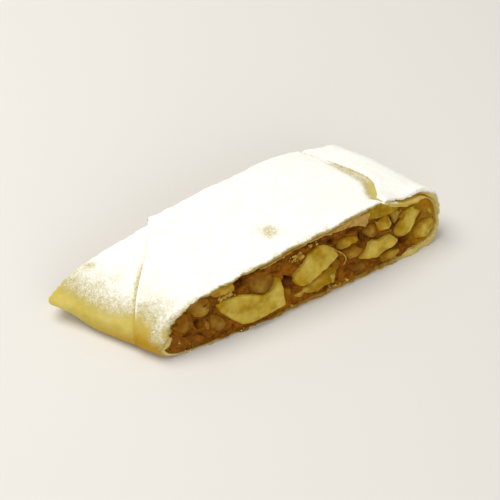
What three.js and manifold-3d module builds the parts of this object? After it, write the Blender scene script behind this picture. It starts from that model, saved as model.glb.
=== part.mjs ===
// A slice of apple strudel: a flat roll of thin dough round a chopped apple filling, cut slantwise
// across the roll, so that the long cut faces show the filling.
//
// Two solids: the dough, which is one sheet folded round with its plaited strips fused on, and the
// filling, which runs right through it with the pieces that the cuts show standing out of both ends.
//
// Millimetres. X runs along the cut faces, Y along the roll from the front cut to the back one, Z up.
// A place on the slice is given on its section, (x, z), and by y. The roll leaves the cut at a slant,
// so a section point lies at x + slant(x) * y.

import * as THREE from "three";
import { mergeVertices } from "three/addons/utils/BufferGeometryUtils.js";
import Module from "manifold-3d";

const wasm = await Module();
wasm.setup();

// ---- Driving dimensions ----

const WIDTH = 136.2; // x of the right nose
const NOSE_LEFT = -3; // x of the left nose
const CROWN = 32.4; // height at the crown, right of the middle
const DEPTH = { left: 41.5, gain: 8.8, gainPower: 0.62, lean: 2.5 }; // from cut to cut, growing to the right
const SLANT = { left: -0.72, gain: 0.22 }; // sideways run of the roll for each millimetre back
const KNIFE_LEAN = { left: 1.5, gain: 5.5, over: 30 }; // the front cut leans back by this over its height
const LEDGE = { out: 4.6, shrink: 0.35, foot: 6, fade: 22 }; // the soft bottom bulges out of the front cut
const CORNER = { left: 3.5, right: 2 }; // how far the ends of the cuts are rounded off
const FOOTPRINT_MIDDLE = new THREE.Vector2(52.15, 23.36); // of the box round the slice

// The outer section, clockwise from the bottom left, seen from the front.
const SECTION = [
  [6, 0], [0, 1], [NOSE_LEFT, 4.5], [-2.5, 9.5], [2, 14.5], [10, 20.3], [22, 24.8],
  [40, 28.2], [60, 30.4], [80, 31.8], [96, CROWN], [110, 31.2], [121, 28.9], [130.4, 26.2],
  [135.4, 20], [WIDTH, 11.5], [133.4, 3.2], [126.5, 0], [95, 0], [65, 0], [35, 0],
];

// The dough.
const STRIP = 1.4; // thickness of a plait strip
const FUSE = 0.25; // how far a strip sinks into what it lies on
const WALL = 1.25; // thickness of the sheet under the strips
const WALL_RIGHT = 0.8; // and this much more round the right end
const FLOOR = 2.4; // thickness of the soaked bottom
const FOLD = { extra: 4.2, from: 60, full: 97, fade: 108, to: 120 }; // extra layer under the crown
const RIM = { rise: 0.3, reach: 2.4, round: 0.6 }; // raised edge of the main strip
const LIP = { rise: 1.1, reach: 6, round: 0.9 }; // rounded, raised edge of the right strip
const SPLIT = { width: 0.4, depth: 2.6, from: 50, to: 97, under: 0.2 }; // where two layers part at a cut
const CUT_BACK = 0.1; // the strips end this far behind the sheet at a cut
const SWAY = 0.28; // unevenness of the baked top

// The main strip's edge runs from the front bottom corner over the left end to the back of the top: its
// distance along the section, against y. The right strip's edge bows across the crown: its x against y.
const MAIN_EDGE = { atFront: 1.6, perY: 1.57, bow: 2.2, length: 46, from: 2, to: 47 };
const RIGHT_EDGE = { crown: 119, bow: 0.03, bowAt: 27, from: 3, to: 49 };
const CREASE = { width: 4.2, middle: 17, half: 20, least: 0.12, depth: 1.7 }; // the dip beside that edge
const LAP = 9; // how far the main strip runs on under the right one
const RIGHT_STRIP_END = 17.25; // section point where the right strip ends, under the right end
const GAPE = { width: 0.6, depth: 6, from: 111.5, to: 130.5 }; // gap between the strips at the front cut

// The filling.
const PIECE_GAP = 0.3; // clear between dough and filling
const CORE_GAP = 0.02; // the core stays this much inside the room that the pieces are cut to
const FACE_INSET = 1.2; // how far the filling's core stands behind the dough's cut edge
const FLOOR_INSET = 1.5; // and this much more just above the bottom, which is left as a ledge
const PIECE_DEPTH = 7; // how far a piece runs into the core
const BEVEL = 0.8; // soft edge of an apple piece
const RAGGED = 0.24; // how far an apple piece's corners stray from an even outline

// Apple pieces at the front cut: middle on the section, length, height, tilt in degrees, how much the
// right end tapers, and how far the piece stands out of the core.
const FRONT_APPLES = [
  { x: 31.5, z: 12.6, long: 20, high: 8.4, tilt: -40, taper: -0.3, out: 2.1 },
  { x: 45, z: 8.4, long: 23, high: 12, tilt: 3, taper: 0.1, out: 2.3 },
  { x: 55.3, z: 13, long: 17, high: 4.6, tilt: 84, taper: 0.2, out: 2 },
  { x: 70.4, z: 16.8, long: 27, high: 11.6, tilt: 23, taper: -0.1, out: 2.4 },
  { x: 72, z: 7.6, long: 27, high: 7, tilt: 13, taper: 0.3, out: 1.5 },
  { x: 89.4, z: 18, long: 12, high: 6, tilt: 4, taper: 0.1, out: 0.6 },
  { x: 102, z: 9.8, long: 22, high: 8.4, tilt: 10, taper: -0.1, out: 2 },
  { x: 107, z: 19.4, long: 9.6, high: 7.6, tilt: 10, taper: 0, out: 1.6 },
  { x: 120, z: 15.4, long: 19, high: 8.4, tilt: 36, taper: -0.2, out: 2 },
  { x: 124.4, z: 8.6, long: 13, high: 8, tilt: 12, taper: 0.1, out: 1.6 },
  { x: 18.6, z: 17, long: 12.4, high: 6, tilt: 18, taper: 0.2, out: 1 },
  { x: 30.4, z: 20.8, long: 10.6, high: 4, tilt: 14, taper: 0, out: 1.4 },
  { x: 91, z: 10.8, long: 10, high: 7.6, tilt: 0, taper: 0, out: 0.4 },
];
// Soft brown pieces between them: raisins and apple gone brown with cinnamon.
const FRONT_LUMPS = [
  { x: 45.5, z: 18.6, long: 14, high: 9.5, tilt: 12, out: 1.9 },
  { x: 18.4, z: 9.4, long: 5, high: 8, tilt: 20, out: 1 },
  { x: 25, z: 7.2, long: 7.6, high: 9, tilt: -30, out: 1.4 },
  { x: 8, z: 9.6, long: 8, high: 5, tilt: 30, out: 1.2 },
  { x: 9.6, z: 5.2, long: 9, high: 3.6, tilt: 0, out: 1.4 },
  { x: 63.6, z: 23, long: 8, high: 5, tilt: 12, out: 1.4 },
  { x: 73, z: 25, long: 7.6, high: 3, tilt: 5, out: 1 },
  { x: 100, z: 19, long: 5, high: 8, tilt: -10, out: 1.2 },
  { x: 115, z: 6.2, long: 7, high: 5, tilt: 10, out: 1.2 },
  { x: 128.6, z: 15, long: 4, high: 6, tilt: 20, out: 1.2 },
  { x: 55.4, z: 24.4, long: 6, high: 3.4, tilt: 10, out: 0.9 },
];
// The back cut shows pieces of the same kinds, laid out by a rule between these ends.
const BACK = { pieces: 16, from: 12, to: 124, seed: 23 };

// How finely the surfaces are divided.
const RING_STEPS = 3; // points for each stretch between section points
const ROLL_STEPS = 7; // stations from cut to cut
const MAIN_STEPS = { across: 38, along: 16 }; // more along, because the strip's edge turns round the nose
const RIGHT_STEPS = { across: 18, along: 10 };
const SPLIT_STEPS = 16;

// ---- The slice's own coordinates ----

const mix = THREE.MathUtils.lerp;
const clamp = THREE.MathUtils.clamp;
const smooth = (low, high, a) => THREE.MathUtils.smoothstep(a, low, high);
const across = (x) => clamp((x - NOSE_LEFT) / (WIDTH - NOSE_LEFT), 0, 1);
const slant = (x) => SLANT.left + SLANT.gain * across(x);

// y of the front cut. The knife leans, and the soft bottom squeezes out in front of the top.
function frontCut(x, z) {
  const s = across(x);
  const bulge = LEDGE.out * Math.sqrt(Math.sin(Math.PI * s)) * (1 - LEDGE.shrink * s);
  const drawnIn = 0.9 * bulge * clamp((z - LEDGE.foot) / LEDGE.fade, 0, 1);
  const lean = (KNIFE_LEAN.left + KNIFE_LEAN.gain * s) * clamp(z / KNIFE_LEAN.over, 0, 1.2);
  const cornerRound = CORNER.right * clamp((x - 122) / 20, 0, 1) ** 2;
  return 0.6 - bulge + drawnIn + lean + cornerRound;
}

// y of the back cut.
function backCut(x, z) {
  const grown = DEPTH.left + DEPTH.gain * across(x) ** DEPTH.gainPower;
  const lean = DEPTH.lean * clamp(z / KNIFE_LEAN.over, 0, 1);
  const cornerRound = CORNER.left * clamp((6 - x) / 9, 0, 1) ** 2;
  return grown - lean - cornerRound;
}

// y at share v of the way from cut to cut, or from inset behind one to inset behind the other.
const betweenCuts = (p, v, inset = 0) => mix(frontCut(p.x, p.z) + inset, backCut(p.x, p.z) - inset, v);

// Slow unevenness of the baked top, nothing at the bottom.
function sway(x, y, z) {
  const long = Math.sin(x * 0.21 + y * 0.11);
  const middling = 0.7 * Math.sin(x * 0.093 - y * 0.19 + 2);
  const short = 0.5 * Math.sin(y * 0.33 + 1);
  return SWAY * (long + middling + short) * clamp(z / 12, 0, 1);
}

function place(x, y, z) {
  return new THREE.Vector3(
    x + slant(x) * y - FOOTPRINT_MIDDLE.x,
    y - FOOTPRINT_MIDDLE.y,
    Math.max(0, z + sway(x, y, z)),
  );
}

// ---- The section as a closed curve ----

const sectionCurve = new THREE.CatmullRomCurve3(
  SECTION.map(([x, z]) => new THREE.Vector3(x, 0, z)), true, "centripetal",
);
const FINE = 840; // samples of the curve for looking up a share of it
const finePoints = Array.from({ length: FINE + 1 }, (_, i) => sectionCurve.getPoint((i % FINE) / FINE));
const fineArc = [0];
for (let i = 1; i <= FINE; i++) fineArc.push(fineArc[i - 1] + finePoints[i].distanceTo(finePoints[i - 1]));

// The point at curve share t, moved inwards by depth.
function sectionAt(t, depth) {
  const wrapped = t - Math.floor(t);
  const p = sectionCurve.getPoint(wrapped);
  const way = sectionCurve.getTangent(wrapped);
  return { x: p.x + way.z * depth, z: Math.max(0, p.z - way.x * depth) };
}

// Curve share at a distance along the curve from its first point.
const shareAtArc = (arc) => Math.max(0, fineArc.findIndex((a) => a >= arc)) / FINE;

// Curve share where the top of the section is at x.
const topShare = (x) => finePoints.findIndex((p, i) => i > FINE * (3 / SECTION.length) && p.x >= x) / FINE;

const topHeight = (x) => sectionCurve.getPoint(topShare(x)).z;

// ---- Solids ----

function toSolid(geometry) {
  const bare = new THREE.BufferGeometry();
  bare.setAttribute("position", geometry.getAttribute("position"));
  bare.setIndex(geometry.getIndex());
  const merged = mergeVertices(bare, 1e-4);
  const numProp = 3;
  const vertProperties = new Float32Array(merged.attributes.position.array);
  const triVerts = new Uint32Array(merged.index.array);
  const solid = new wasm.Manifold(new wasm.Mesh({ numProp, vertProperties, triVerts }));
  // A surface built inside out is turned the right way round.
  if (solid.volume() >= 0) return solid;
  return new wasm.Manifold(new wasm.Mesh({ numProp, vertProperties, triVerts: triVerts.reverse() }));
}

function toGeometry(solid) {
  const { numProp, numVert, vertProperties, triVerts } = solid.getMesh();
  const points = new THREE.BufferAttribute(new Float32Array(numVert * 3), 3);
  for (let i = 0; i < numVert; i++) {
    points.setXYZ(i, ...vertProperties.subarray(i * numProp, i * numProp + 3));
  }
  const geometry = new THREE.BufferGeometry().setAttribute("position", points);
  geometry.setIndex(new THREE.BufferAttribute(triVerts, 1));
  geometry.computeVertexNormals();
  return geometry;
}

// The largest body alone: loose scraps go, and hollows that fusing sealed are filled.
const largestBody = (solid) => solid.decompose().reduce((a, b) => (b.volume() > a.volume() ? b : a));

const meshSolid = (vertices, triangles) =>
  toSolid(new THREE.BufferGeometry().setFromPoints(vertices).setIndex(triangles));

// A layer of dough between an outer and an inner surface, both functions of u, across, and v, from cut to
// cut. A closed layer goes all the way round the section; an open one also gets two long edges.
function layer(outerAt, innerAt, columns, rows, closed) {
  const count = closed ? columns : columns + 1;
  const vertices = [];
  for (const at of [outerAt, innerAt]) {
    for (let j = 0; j <= rows; j++) {
      for (let i = 0; i < count; i++) vertices.push(at(i / columns, j / rows));
    }
  }
  const id = (side, i, j) => side * count * (rows + 1) + j * count + (i % count);
  const triangles = [];
  const quad = (a, b, c, d) => triangles.push(a, b, c, a, c, d);
  for (let j = 0; j < rows; j++) {
    for (let i = 0; i < columns; i++) {
      quad(id(0, i, j), id(0, i, j + 1), id(0, i + 1, j + 1), id(0, i + 1, j));
      quad(id(1, i, j), id(1, i + 1, j), id(1, i + 1, j + 1), id(1, i, j + 1));
    }
  }
  for (let i = 0; i < columns; i++) {
    quad(id(0, i, 0), id(0, i + 1, 0), id(1, i + 1, 0), id(1, i, 0));
    quad(id(0, i, rows), id(1, i, rows), id(1, i + 1, rows), id(0, i + 1, rows));
  }
  for (let j = 0; j < rows && !closed; j++) {
    quad(id(0, 0, j), id(1, 0, j), id(1, 0, j + 1), id(0, 0, j + 1));
    quad(id(0, columns, j), id(0, columns, j + 1), id(1, columns, j + 1), id(1, columns, j));
  }
  return meshSolid(vertices, triangles);
}

// A solid rod along the roll through the given stations, closed by flat-triangulated ends.
function rod(pointAt, columns, stations) {
  const rows = stations.length - 1;
  const vertices = stations.flatMap((v) => Array.from({ length: columns }, (_, i) => pointAt(i / columns, v)));
  const id = (i, j) => j * columns + (i % columns);
  const triangles = [];
  for (let j = 0; j < rows; j++) {
    for (let i = 0; i < columns; i++) {
      triangles.push(id(i, j), id(i, j + 1), id(i + 1, j + 1));
      triangles.push(id(i, j), id(i + 1, j + 1), id(i + 1, j));
    }
  }
  const outline = vertices.slice(0, columns).map((p) => new THREE.Vector2(p.x, p.z));
  for (const [a, b, c] of THREE.ShapeUtils.triangulateShape(outline, [])) {
    triangles.push(a, c, b);
    triangles.push(id(a, rows), id(b, rows), id(c, rows));
  }
  return meshSolid(vertices, triangles);
}

// ---- The dough ----

// Depth of the sheet's upper side below the outer section: nothing at the bottom, a strip's thickness on top.
const sheetTop = (x, z) => STRIP * smooth(0.5, 9, z);

// Thickness of the extra folded layer at x.
const foldExtra = (x) =>
  FOLD.extra * smooth(FOLD.from, FOLD.full, x) * (1 - smooth(FOLD.fade, FOLD.to, x));

// Depth of the dough's inner wall.
function wallDepth(x, z) {
  const top = STRIP + WALL + WALL_RIGHT * smooth(108, 122, x) + foldExtra(x) * smooth(18, 26, z);
  return mix(FLOOR, top, smooth(1, 9, z));
}

function wallPoint(t, clear) {
  const skin = sectionAt(t, 0);
  return sectionAt(t, wallDepth(skin.x, skin.z) + clear);
}

function makeSheet() {
  const at = (depthOf) => (u, v) => {
    const skin = sectionAt(u, 0);
    const p = sectionAt(u, depthOf(skin.x, skin.z));
    return place(p.x, betweenCuts(p, v), p.z);
  };
  return layer(at(sheetTop), at(wallDepth), SECTION.length * RING_STEPS, ROLL_STEPS, true);
}

function mainEdgeArc(y) {
  const bow = MAIN_EDGE.bow * Math.sin((Math.PI * y) / MAIN_EDGE.length);
  return Math.max(1, MAIN_EDGE.atFront + MAIN_EDGE.perY * y + bow);
}

const rightEdgeX = (y) => RIGHT_EDGE.crown - RIGHT_EDGE.bow * (y - RIGHT_EDGE.bowAt) ** 2;

// Depth of the crease in which the main strip dips under the right one. It is widest near the front.
function creaseDepth(x, y) {
  const width = CREASE.width * Math.max(CREASE.least, 1 - ((y - CREASE.middle) / CREASE.half) ** 2);
  return CREASE.depth * smooth(rightEdgeX(y) - width - 2, rightEdgeX(y) + 0.5, x);
}

// Depth of a strip's upper side at a distance from its edge: raised beside it, and rounded at the very edge.
function edgeDepth({ rise, reach, round }, distance) {
  return round * (1 - smooth(0, 1.2, distance)) - rise * Math.exp(-((distance / reach) ** 2));
}

// The main strip comes up round the left end, lies over the top and dips under the right strip.
function makeMainStrip() {
  const at = (isInner) => (u, v) => {
    const edgeY = mix(MAIN_EDGE.from, MAIN_EDGE.to, v);
    const first = shareAtArc(mainEdgeArc(edgeY));
    const t = mix(first, topShare(rightEdgeX(edgeY) + LAP), u ** 1.3);
    const skin = sectionAt(t, 0);
    const crease = creaseDepth(skin.x, betweenCuts(skin, v));
    const rim = edgeDepth(RIM, (t - first) * fineArc[FINE]) * smooth(3, 9, skin.z);
    const p = sectionAt(t, isInner ? crease + STRIP + FUSE : crease + rim);
    return place(p.x, betweenCuts(p, v, CUT_BACK), p.z);
  };
  return layer(at(false), at(true), MAIN_STEPS.across, MAIN_STEPS.along, false);
}

// Width of the gap between the strips at the front cut, closing towards both its ends.
function gapeWidth(x) {
  const opening = smooth(GAPE.from - 1.5, GAPE.from + 1.5, x);
  const closing = 1 - smooth(GAPE.to - 2.5, GAPE.to + 2.5, x);
  return GAPE.width * opening * closing;
}

// The right strip comes up round the right end and lies over the main strip. At the front cut the two gape.
function makeRightStrip() {
  const at = (isInner) => (u, v) => {
    const first = topShare(rightEdgeX(mix(RIGHT_EDGE.from, RIGHT_EDGE.to, v)));
    const t = mix(first, RIGHT_STRIP_END / SECTION.length, u ** 1.5);
    const skin = sectionAt(t, 0);
    const behindCut = betweenCuts(skin, v) - frontCut(skin.x, skin.z);
    const gape = gapeWidth(skin.x) * (1 - smooth(2, 2 + GAPE.depth, behindCut));
    const lip = edgeDepth(LIP, (t - first) * fineArc[FINE]) - 0.1;
    const p = sectionAt(t, isInner ? STRIP + FUSE - gape : lip);
    return place(p.x, betweenCuts(p, v, CUT_BACK), p.z);
  };
  return layer(at(false), at(true), RIGHT_STEPS.across, RIGHT_STEPS.along, false);
}

// A thin slit at a cut, between the main strip and the sheet under it, closing towards its ends.
function makeSplit(isFront) {
  const at = (share) => (u, v) => {
    const taper = Math.sqrt(Math.sin(Math.PI * mix(0.05, 0.95, u)));
    const depth = STRIP + SPLIT.under + share * SPLIT.width * taper;
    const p = sectionAt(topShare(mix(SPLIT.from, SPLIT.to, u)), depth);
    const into = mix(-2, SPLIT.depth * taper, v);
    return place(p.x, isFront ? frontCut(p.x, p.z) + into : backCut(p.x, p.z) - into, p.z);
  };
  return layer(at(0), at(1), SPLIT_STEPS, 1, false);
}

function makeDough() {
  const wrapped = makeSheet().add(makeMainStrip()).add(makeRightStrip());
  return largestBody(wrapped.subtract(makeSplit(true)).subtract(makeSplit(false)));
}

// ---- The filling ----

const rollStations = Array.from({ length: ROLL_STEPS + 1 }, (_, j) => j / ROLL_STEPS);
const ringColumns = SECTION.length * RING_STEPS;

// The space inside the dough, kept clear of it, running out past both cuts. It has the sheet's own columns
// and stations, so that the gap keeps its width all along.
function makeRoom() {
  const at = (u, v) => {
    const p = wallPoint(u, PIECE_GAP);
    return place(p.x, betweenCuts(p, v), p.z);
  };
  return rod(at, ringColumns, [-0.2, ...rollStations, 1.2]);
}

const faceInset = (z) => FACE_INSET + FLOOR_INSET * (1 - smooth(2.5, 8, z));

function makeCore() {
  const at = (u, v) => {
    const p = wallPoint(u, PIECE_GAP + CORE_GAP);
    return place(p.x, betweenCuts(p, v, faceInset(p.z)), p.z);
  };
  return rod(at, ringColumns, rollStations);
}

// Carries a piece, drawn on the section with its own depth as z, to a cut.
function toCut(geometry, out, isFront) {
  const points = geometry.getAttribute("position");
  for (let i = 0; i < points.count; i++) {
    const x = points.getX(i);
    const z = points.getY(i);
    const into = faceInset(z) - out + points.getZ(i);
    const to = place(x, isFront ? frontCut(x, z) + into : backCut(x, z) - into, z);
    points.setXYZ(i, to.x, to.y, to.z);
  }
  return toSolid(geometry);
}

// A repeatable draw from 0 to 1.
function drawer(seed) {
  let state = seed;
  return () => {
    state = (state * 1664525 + 1013904223) % 4294967296;
    return state / 4294967296;
  };
}

// A cooked apple piece: a block with an uneven outline of 6 to 8 corners and soft edges.
function makeApple({ x, z, long, high, tilt, taper, out }, isFront) {
  const draw = drawer(Math.round(x * 97 + z * 13));
  const corners = 6 + Math.floor(draw() * 3);
  const outline = Array.from({ length: corners }, (_, k) => {
    const angle = ((k + mix(-RAGGED, RAGGED, draw())) / corners) * Math.PI * 2;
    const reach = mix(1 - RAGGED / 2, 1 + RAGGED / 2, draw());
    const along = Math.cos(angle);
    const up = Math.sin(angle) * (1 - taper * along);
    return new THREE.Vector2(along * long, up * high).multiplyScalar(reach / 2);
  });
  const geometry = new THREE.ExtrudeGeometry(new THREE.Shape(outline), {
    depth: PIECE_DEPTH, bevelSegments: 1, bevelSize: BEVEL, bevelThickness: BEVEL, bevelOffset: -BEVEL,
  });
  geometry.rotateZ(THREE.MathUtils.degToRad(tilt)).translate(x, z, BEVEL);
  return toCut(geometry, out, isFront);
}

// A soft piece: a flattened ball.
function makeLump({ x, z, long, high, tilt, out }, isFront) {
  const ball = new THREE.IcosahedronGeometry(1, 1).scale(long / 2, high / 2, PIECE_DEPTH / 2);
  ball.rotateZ(THREE.MathUtils.degToRad(tilt)).translate(x, z, PIECE_DEPTH / 2);
  return toCut(ball, out, isFront);
}

// The back cut: apple pieces in two staggered rows, with brown lumps between the rows.
function makeBackPieces() {
  const draw = drawer(BACK.seed);
  return Array.from({ length: BACK.pieces }, (_, i) => {
    const x = mix(BACK.from, BACK.to, (i + 0.5) / BACK.pieces) + mix(-3, 3, draw());
    const room = topHeight(x) - FLOOR - STRIP - WALL - foldExtra(x) - 2;
    const isUpper = i % 2 === 1;
    const z = FLOOR + room * (isUpper ? mix(0.62, 0.74, draw()) : mix(0.26, 0.38, draw()));
    const long = mix(11, 20, draw() ** 1.4);
    const high = Math.min(long * mix(0.4, 0.7, draw()), room * 0.8);
    const lie = { tilt: mix(-45, 45, draw()), taper: mix(-0.3, 0.3, draw()), out: mix(0.4, 2.2, draw()) };
    const lump = { x: x + 3, z: FLOOR + room * (isUpper ? 0.2 : 0.8), out: 1.1 };
    const lumpSize = { long: mix(5, 11, draw()), high: mix(3, 6, draw()), tilt: 50 * draw() };
    return makeApple({ x, z, long, high, ...lie }, false).add(makeLump({ ...lump, ...lumpSize }, false));
  });
}

function makeFilling() {
  const pieces = [
    ...FRONT_APPLES.map((piece) => makeApple(piece, true)),
    ...FRONT_LUMPS.map((piece) => makeLump(piece, true)),
    ...makeBackPieces(),
  ];
  const heap = pieces.reduce((whole, piece) => whole.add(piece), makeCore());
  return largestBody(heap.intersect(makeRoom()));
}

// ---- Assembly ----

function namedMesh(name, solid, color, roughness) {
  const material = new THREE.MeshStandardMaterial({ color, roughness, metalness: 0 });
  const mesh = new THREE.Mesh(toGeometry(solid), material);
  mesh.name = name;
  return mesh;
}

const strudel = new THREE.Group();
strudel.add(namedMesh("pastry", makeDough(), 0xe9ddb0, 0.85));
strudel.add(namedMesh("filling", makeFilling(), 0x8a5a2a, 0.45));

export default strudel;
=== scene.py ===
# %% [markdown]
# # A slice of apple strudel
# This strudel is a flat roll: thin dough folded round chopped apple, with strips laid over the top from both
# sides, then baked, dusted with icing sugar and cut slantwise. The lesson rebuilds one slice: its finishes
# first, then the dough, the filling and the loose things on them. Dough and mash come from formulas in
# millimetres, because neighbours then fit without any hand work. Apple pieces are drawn one by one.

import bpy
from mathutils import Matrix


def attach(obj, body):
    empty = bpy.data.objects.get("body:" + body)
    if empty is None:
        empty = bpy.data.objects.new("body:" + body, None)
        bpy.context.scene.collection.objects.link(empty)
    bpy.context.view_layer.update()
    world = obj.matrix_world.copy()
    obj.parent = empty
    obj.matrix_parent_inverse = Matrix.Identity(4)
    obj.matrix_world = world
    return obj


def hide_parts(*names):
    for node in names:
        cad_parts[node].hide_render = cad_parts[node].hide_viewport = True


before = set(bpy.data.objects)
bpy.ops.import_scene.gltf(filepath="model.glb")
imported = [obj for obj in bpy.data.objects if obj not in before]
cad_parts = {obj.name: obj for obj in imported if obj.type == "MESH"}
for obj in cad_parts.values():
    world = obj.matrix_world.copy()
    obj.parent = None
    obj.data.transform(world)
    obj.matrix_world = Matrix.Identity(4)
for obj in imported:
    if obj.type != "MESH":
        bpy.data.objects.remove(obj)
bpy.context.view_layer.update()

# %% Modules
import functools
import math
import bmesh
import bpy
import numpy as np
from mathutils import Matrix, Vector
from types import SimpleNamespace as Sizes

MM = 0.001
print("quick look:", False)

# %% [markdown]
# ## The slice's own coordinates
# A roll is easiest to describe on its cross section. A place is (x, z) on the section, and y from the front
# cut to the back one. The knife cuts slantwise, so the section slides sideways as y grows.

# %% The section
NOSE_LEFT, NOSE_RIGHT, CROWN = -3.0, 136.2, 32.4  # x of both noses, and the top's height
SECTION = np.array([
    (6, 0), (0, 1), (NOSE_LEFT, 4.5), (-2.5, 9.5), (2, 14.5), (10, 20.3), (22, 24.8),
    (40, 28.2), (60, 30.4), (80, 31.8), (96, CROWN), (110, 31.2), (121, 28.9), (130.4, 26.2),
    (135.4, 20), (NOSE_RIGHT, 11.5), (133.4, 3.2), (126.5, 0), (95, 0), (65, 0), (35, 0),
])
print(f"section: {NOSE_RIGHT - NOSE_LEFT:.0f} mm from nose to nose, {CROWN:.0f} mm high")


# %% Helpers for blending numbers
def mix(low, high, share):
    """From low at share 0 to high at share 1, in a straight line."""
    return low + (high - low) * share


def smooth(start, end, value):
    """0 up to start and 1 from end on, also where end is the smaller one."""
    share = np.clip((value - start) / (end - start), 0, 1)
    return share * share * (3 - 2 * share)


def hump(middle, reach, value):
    """1 in the middle, fading to about a third at reach on both sides."""
    return np.exp(-(((value - middle) / reach) ** 2))


print("a quarter of the way, eased:", smooth(0, 1, 0.25))


# %% [markdown]
# The section is a closed curve through 21 points. A centripetal Catmull-Rom curve is used, because it passes
# through its points without loops even where they crowd together, as at the two noses.

# %% The section as a curve
def section_curve(share):
    """Point and unit direction on the closed section at a share of its points."""
    count = len(SECTION)
    along = np.mod(share, 1.0) * count
    i = np.floor(along).astype(int) % count
    w = (along - np.floor(along))[..., None]
    p0, p1, p2, p3 = (SECTION[(i + k) % count] for k in (-1, 0, 1, 2))
    pairs = ((p0, p1), (p1, p2), (p2, p3))
    d0, d1, d2 = (np.linalg.norm(b - a, axis=-1, keepdims=True) ** 0.5 for a, b in pairs)
    m1 = d1 * ((p1 - p0) / d0 - (p2 - p0) / (d0 + d1) + (p2 - p1) / d1)
    m2 = d1 * ((p2 - p1) / d1 - (p3 - p1) / (d1 + d2) + (p3 - p2) / d2)
    c2 = 3 * (p2 - p1) - 2 * m1 - m2
    c3 = 2 * (p1 - p2) + m1 + m2
    point = p1 + w * (m1 + w * (c2 + w * c3))
    way = m1 + w * (2 * c2 + w * 3 * c3)
    return point, way / np.linalg.norm(way, axis=-1, keepdims=True)


SHARES = np.linspace(0, 1, 4201)
OUTLINE = section_curve(SHARES)[0]
ARCS = np.concatenate([[0], np.cumsum(np.linalg.norm(np.diff(OUTLINE, axis=0), axis=1))])
AROUND = ARCS[-1]
TOP = slice(np.searchsorted(SHARES, 3 / len(SECTION)), int(np.argmax(OUTLINE[:-1, 0])))
print(f"once round the section: {AROUND:.0f} mm")


# %% Points on and under the skin
def on_section(arc, depth=0.0):
    """x and z at a distance along the section, clockwise from its bottom left, and a depth under it."""
    point, way = section_curve(np.interp(np.mod(arc, AROUND), ARCS, SHARES))
    x = point[..., 0] + way[..., 1] * depth
    z = point[..., 1] - way[..., 0] * depth
    return x, np.maximum(0, z)


def arc_at_top(x):
    """Distance along the section to the top at x."""
    return np.interp(x, OUTLINE[TOP, 0], ARCS[TOP])


print(f"the crown is {arc_at_top(96):.0f} mm along the section")


# %% The two cuts
DEPTH = Sizes(left=41.5, gain=8.8, power=0.62, lean=2.5)  # from cut to cut, growing to the right
KNIFE_LEAN = Sizes(left=1.5, gain=5.5, over=30)  # the front cut leans back by this over its height
LEDGE = Sizes(out=4.6, shrink=0.35, foot=6, fade=22)  # the soft bottom bulges out of the front cut
CORNER = Sizes(left=3.5, right=2)  # how far the ends of the cuts are rounded off


def across(x):
    """0 at the left nose and 1 at the right one."""
    return np.clip((x - NOSE_LEFT) / (NOSE_RIGHT - NOSE_LEFT), 0, 1)


def front_cut(x, z):
    """y of the front cut: the knife leans, and the soft bottom squeezes out in front of the top."""
    s = across(x)
    bulge = LEDGE.out * np.sqrt(np.clip(np.sin(math.pi * s), 0, 1)) * (1 - LEDGE.shrink * s)
    drawn_in = 0.9 * bulge * np.clip((z - LEDGE.foot) / LEDGE.fade, 0, 1)
    lean = (KNIFE_LEAN.left + KNIFE_LEAN.gain * s) * np.clip(z / KNIFE_LEAN.over, 0, 1.2)
    return 0.6 - bulge + drawn_in + lean + CORNER.right * np.clip((x - 122) / 20, 0, 1) ** 2


def back_cut(x, z):
    """y of the back cut."""
    grown = DEPTH.left + DEPTH.gain * across(x) ** DEPTH.power
    lean = DEPTH.lean * np.clip(z / KNIFE_LEAN.over, 0, 1)
    return grown - lean - CORNER.left * np.clip((6 - x) / 9, 0, 1) ** 2


def between_cuts(x, z, v, inset=0.0):
    """y at share v of the way from cut to cut, or from inset behind one to inset behind the other."""
    return mix(front_cut(x, z) + inset, back_cut(x, z) - inset, v)


def behind_cut(x, z, inset, side):
    """y this far inside the slice, behind the front cut, which is side 0, or the back one, side 1."""
    return front_cut(x, z) + inset if side == 0 else back_cut(x, z) - inset


def on_skin(arc, v):
    """x, y and z on the slice's skin, at a distance along the section and a share v from cut to cut."""
    x, z = on_section(arc)
    return x, between_cuts(x, z, v), z


print(f"from cut to cut: {back_cut(0, 0) - front_cut(0, 0):.0f} mm at the left,", end=" ")
print(f"{back_cut(120, 0) - front_cut(120, 0):.0f} mm at the right")


# %% From the slice's coordinates to the part's
SLANT = Sizes(left=-0.72, gain=0.22)  # sideways run of the roll for each millimetre back
FOOTPRINT_MIDDLE = (52.15, 23.36)
SWAY = 0.28  # unevenness of the baked top


def sway(x, y, z):
    """How far the top rises or dips where the dough baked unevenly, in waves of some centimetres."""
    waves = np.sin(x * 0.21 + y * 0.11) + 0.7 * np.sin(x * 0.093 - y * 0.19 + 2) + 0.5 * np.sin(y * 0.33 + 1)
    return SWAY * waves * np.clip(z / 12, 0, 1)


def curled_tip(x, y, z):
    """The sheet's back left corner lies free: it is thin, and its underside lifts off the board."""
    free = smooth(22, 43, y) * smooth(15, -2, x)
    z = z + free * np.maximum(0, 4.4 - 0.34 * z)
    thin = smooth(30, 43, y) * smooth(9, -3, x)
    return x + 4.0 * free * (1 - smooth(4, 9, z)) - 0.8 * thin, y + 1.6 * free, z + 0.55 * thin * (8.6 - z)


def sunk_edge(x, y, z):
    """At the right the crown has sunk a little just behind the front cut, where the knife pressed on it."""
    return z - 1.9 * hump(121, 7, x) * smooth(18, 27, z) * smooth(8, 0, y - front_cut(x, z))


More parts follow.
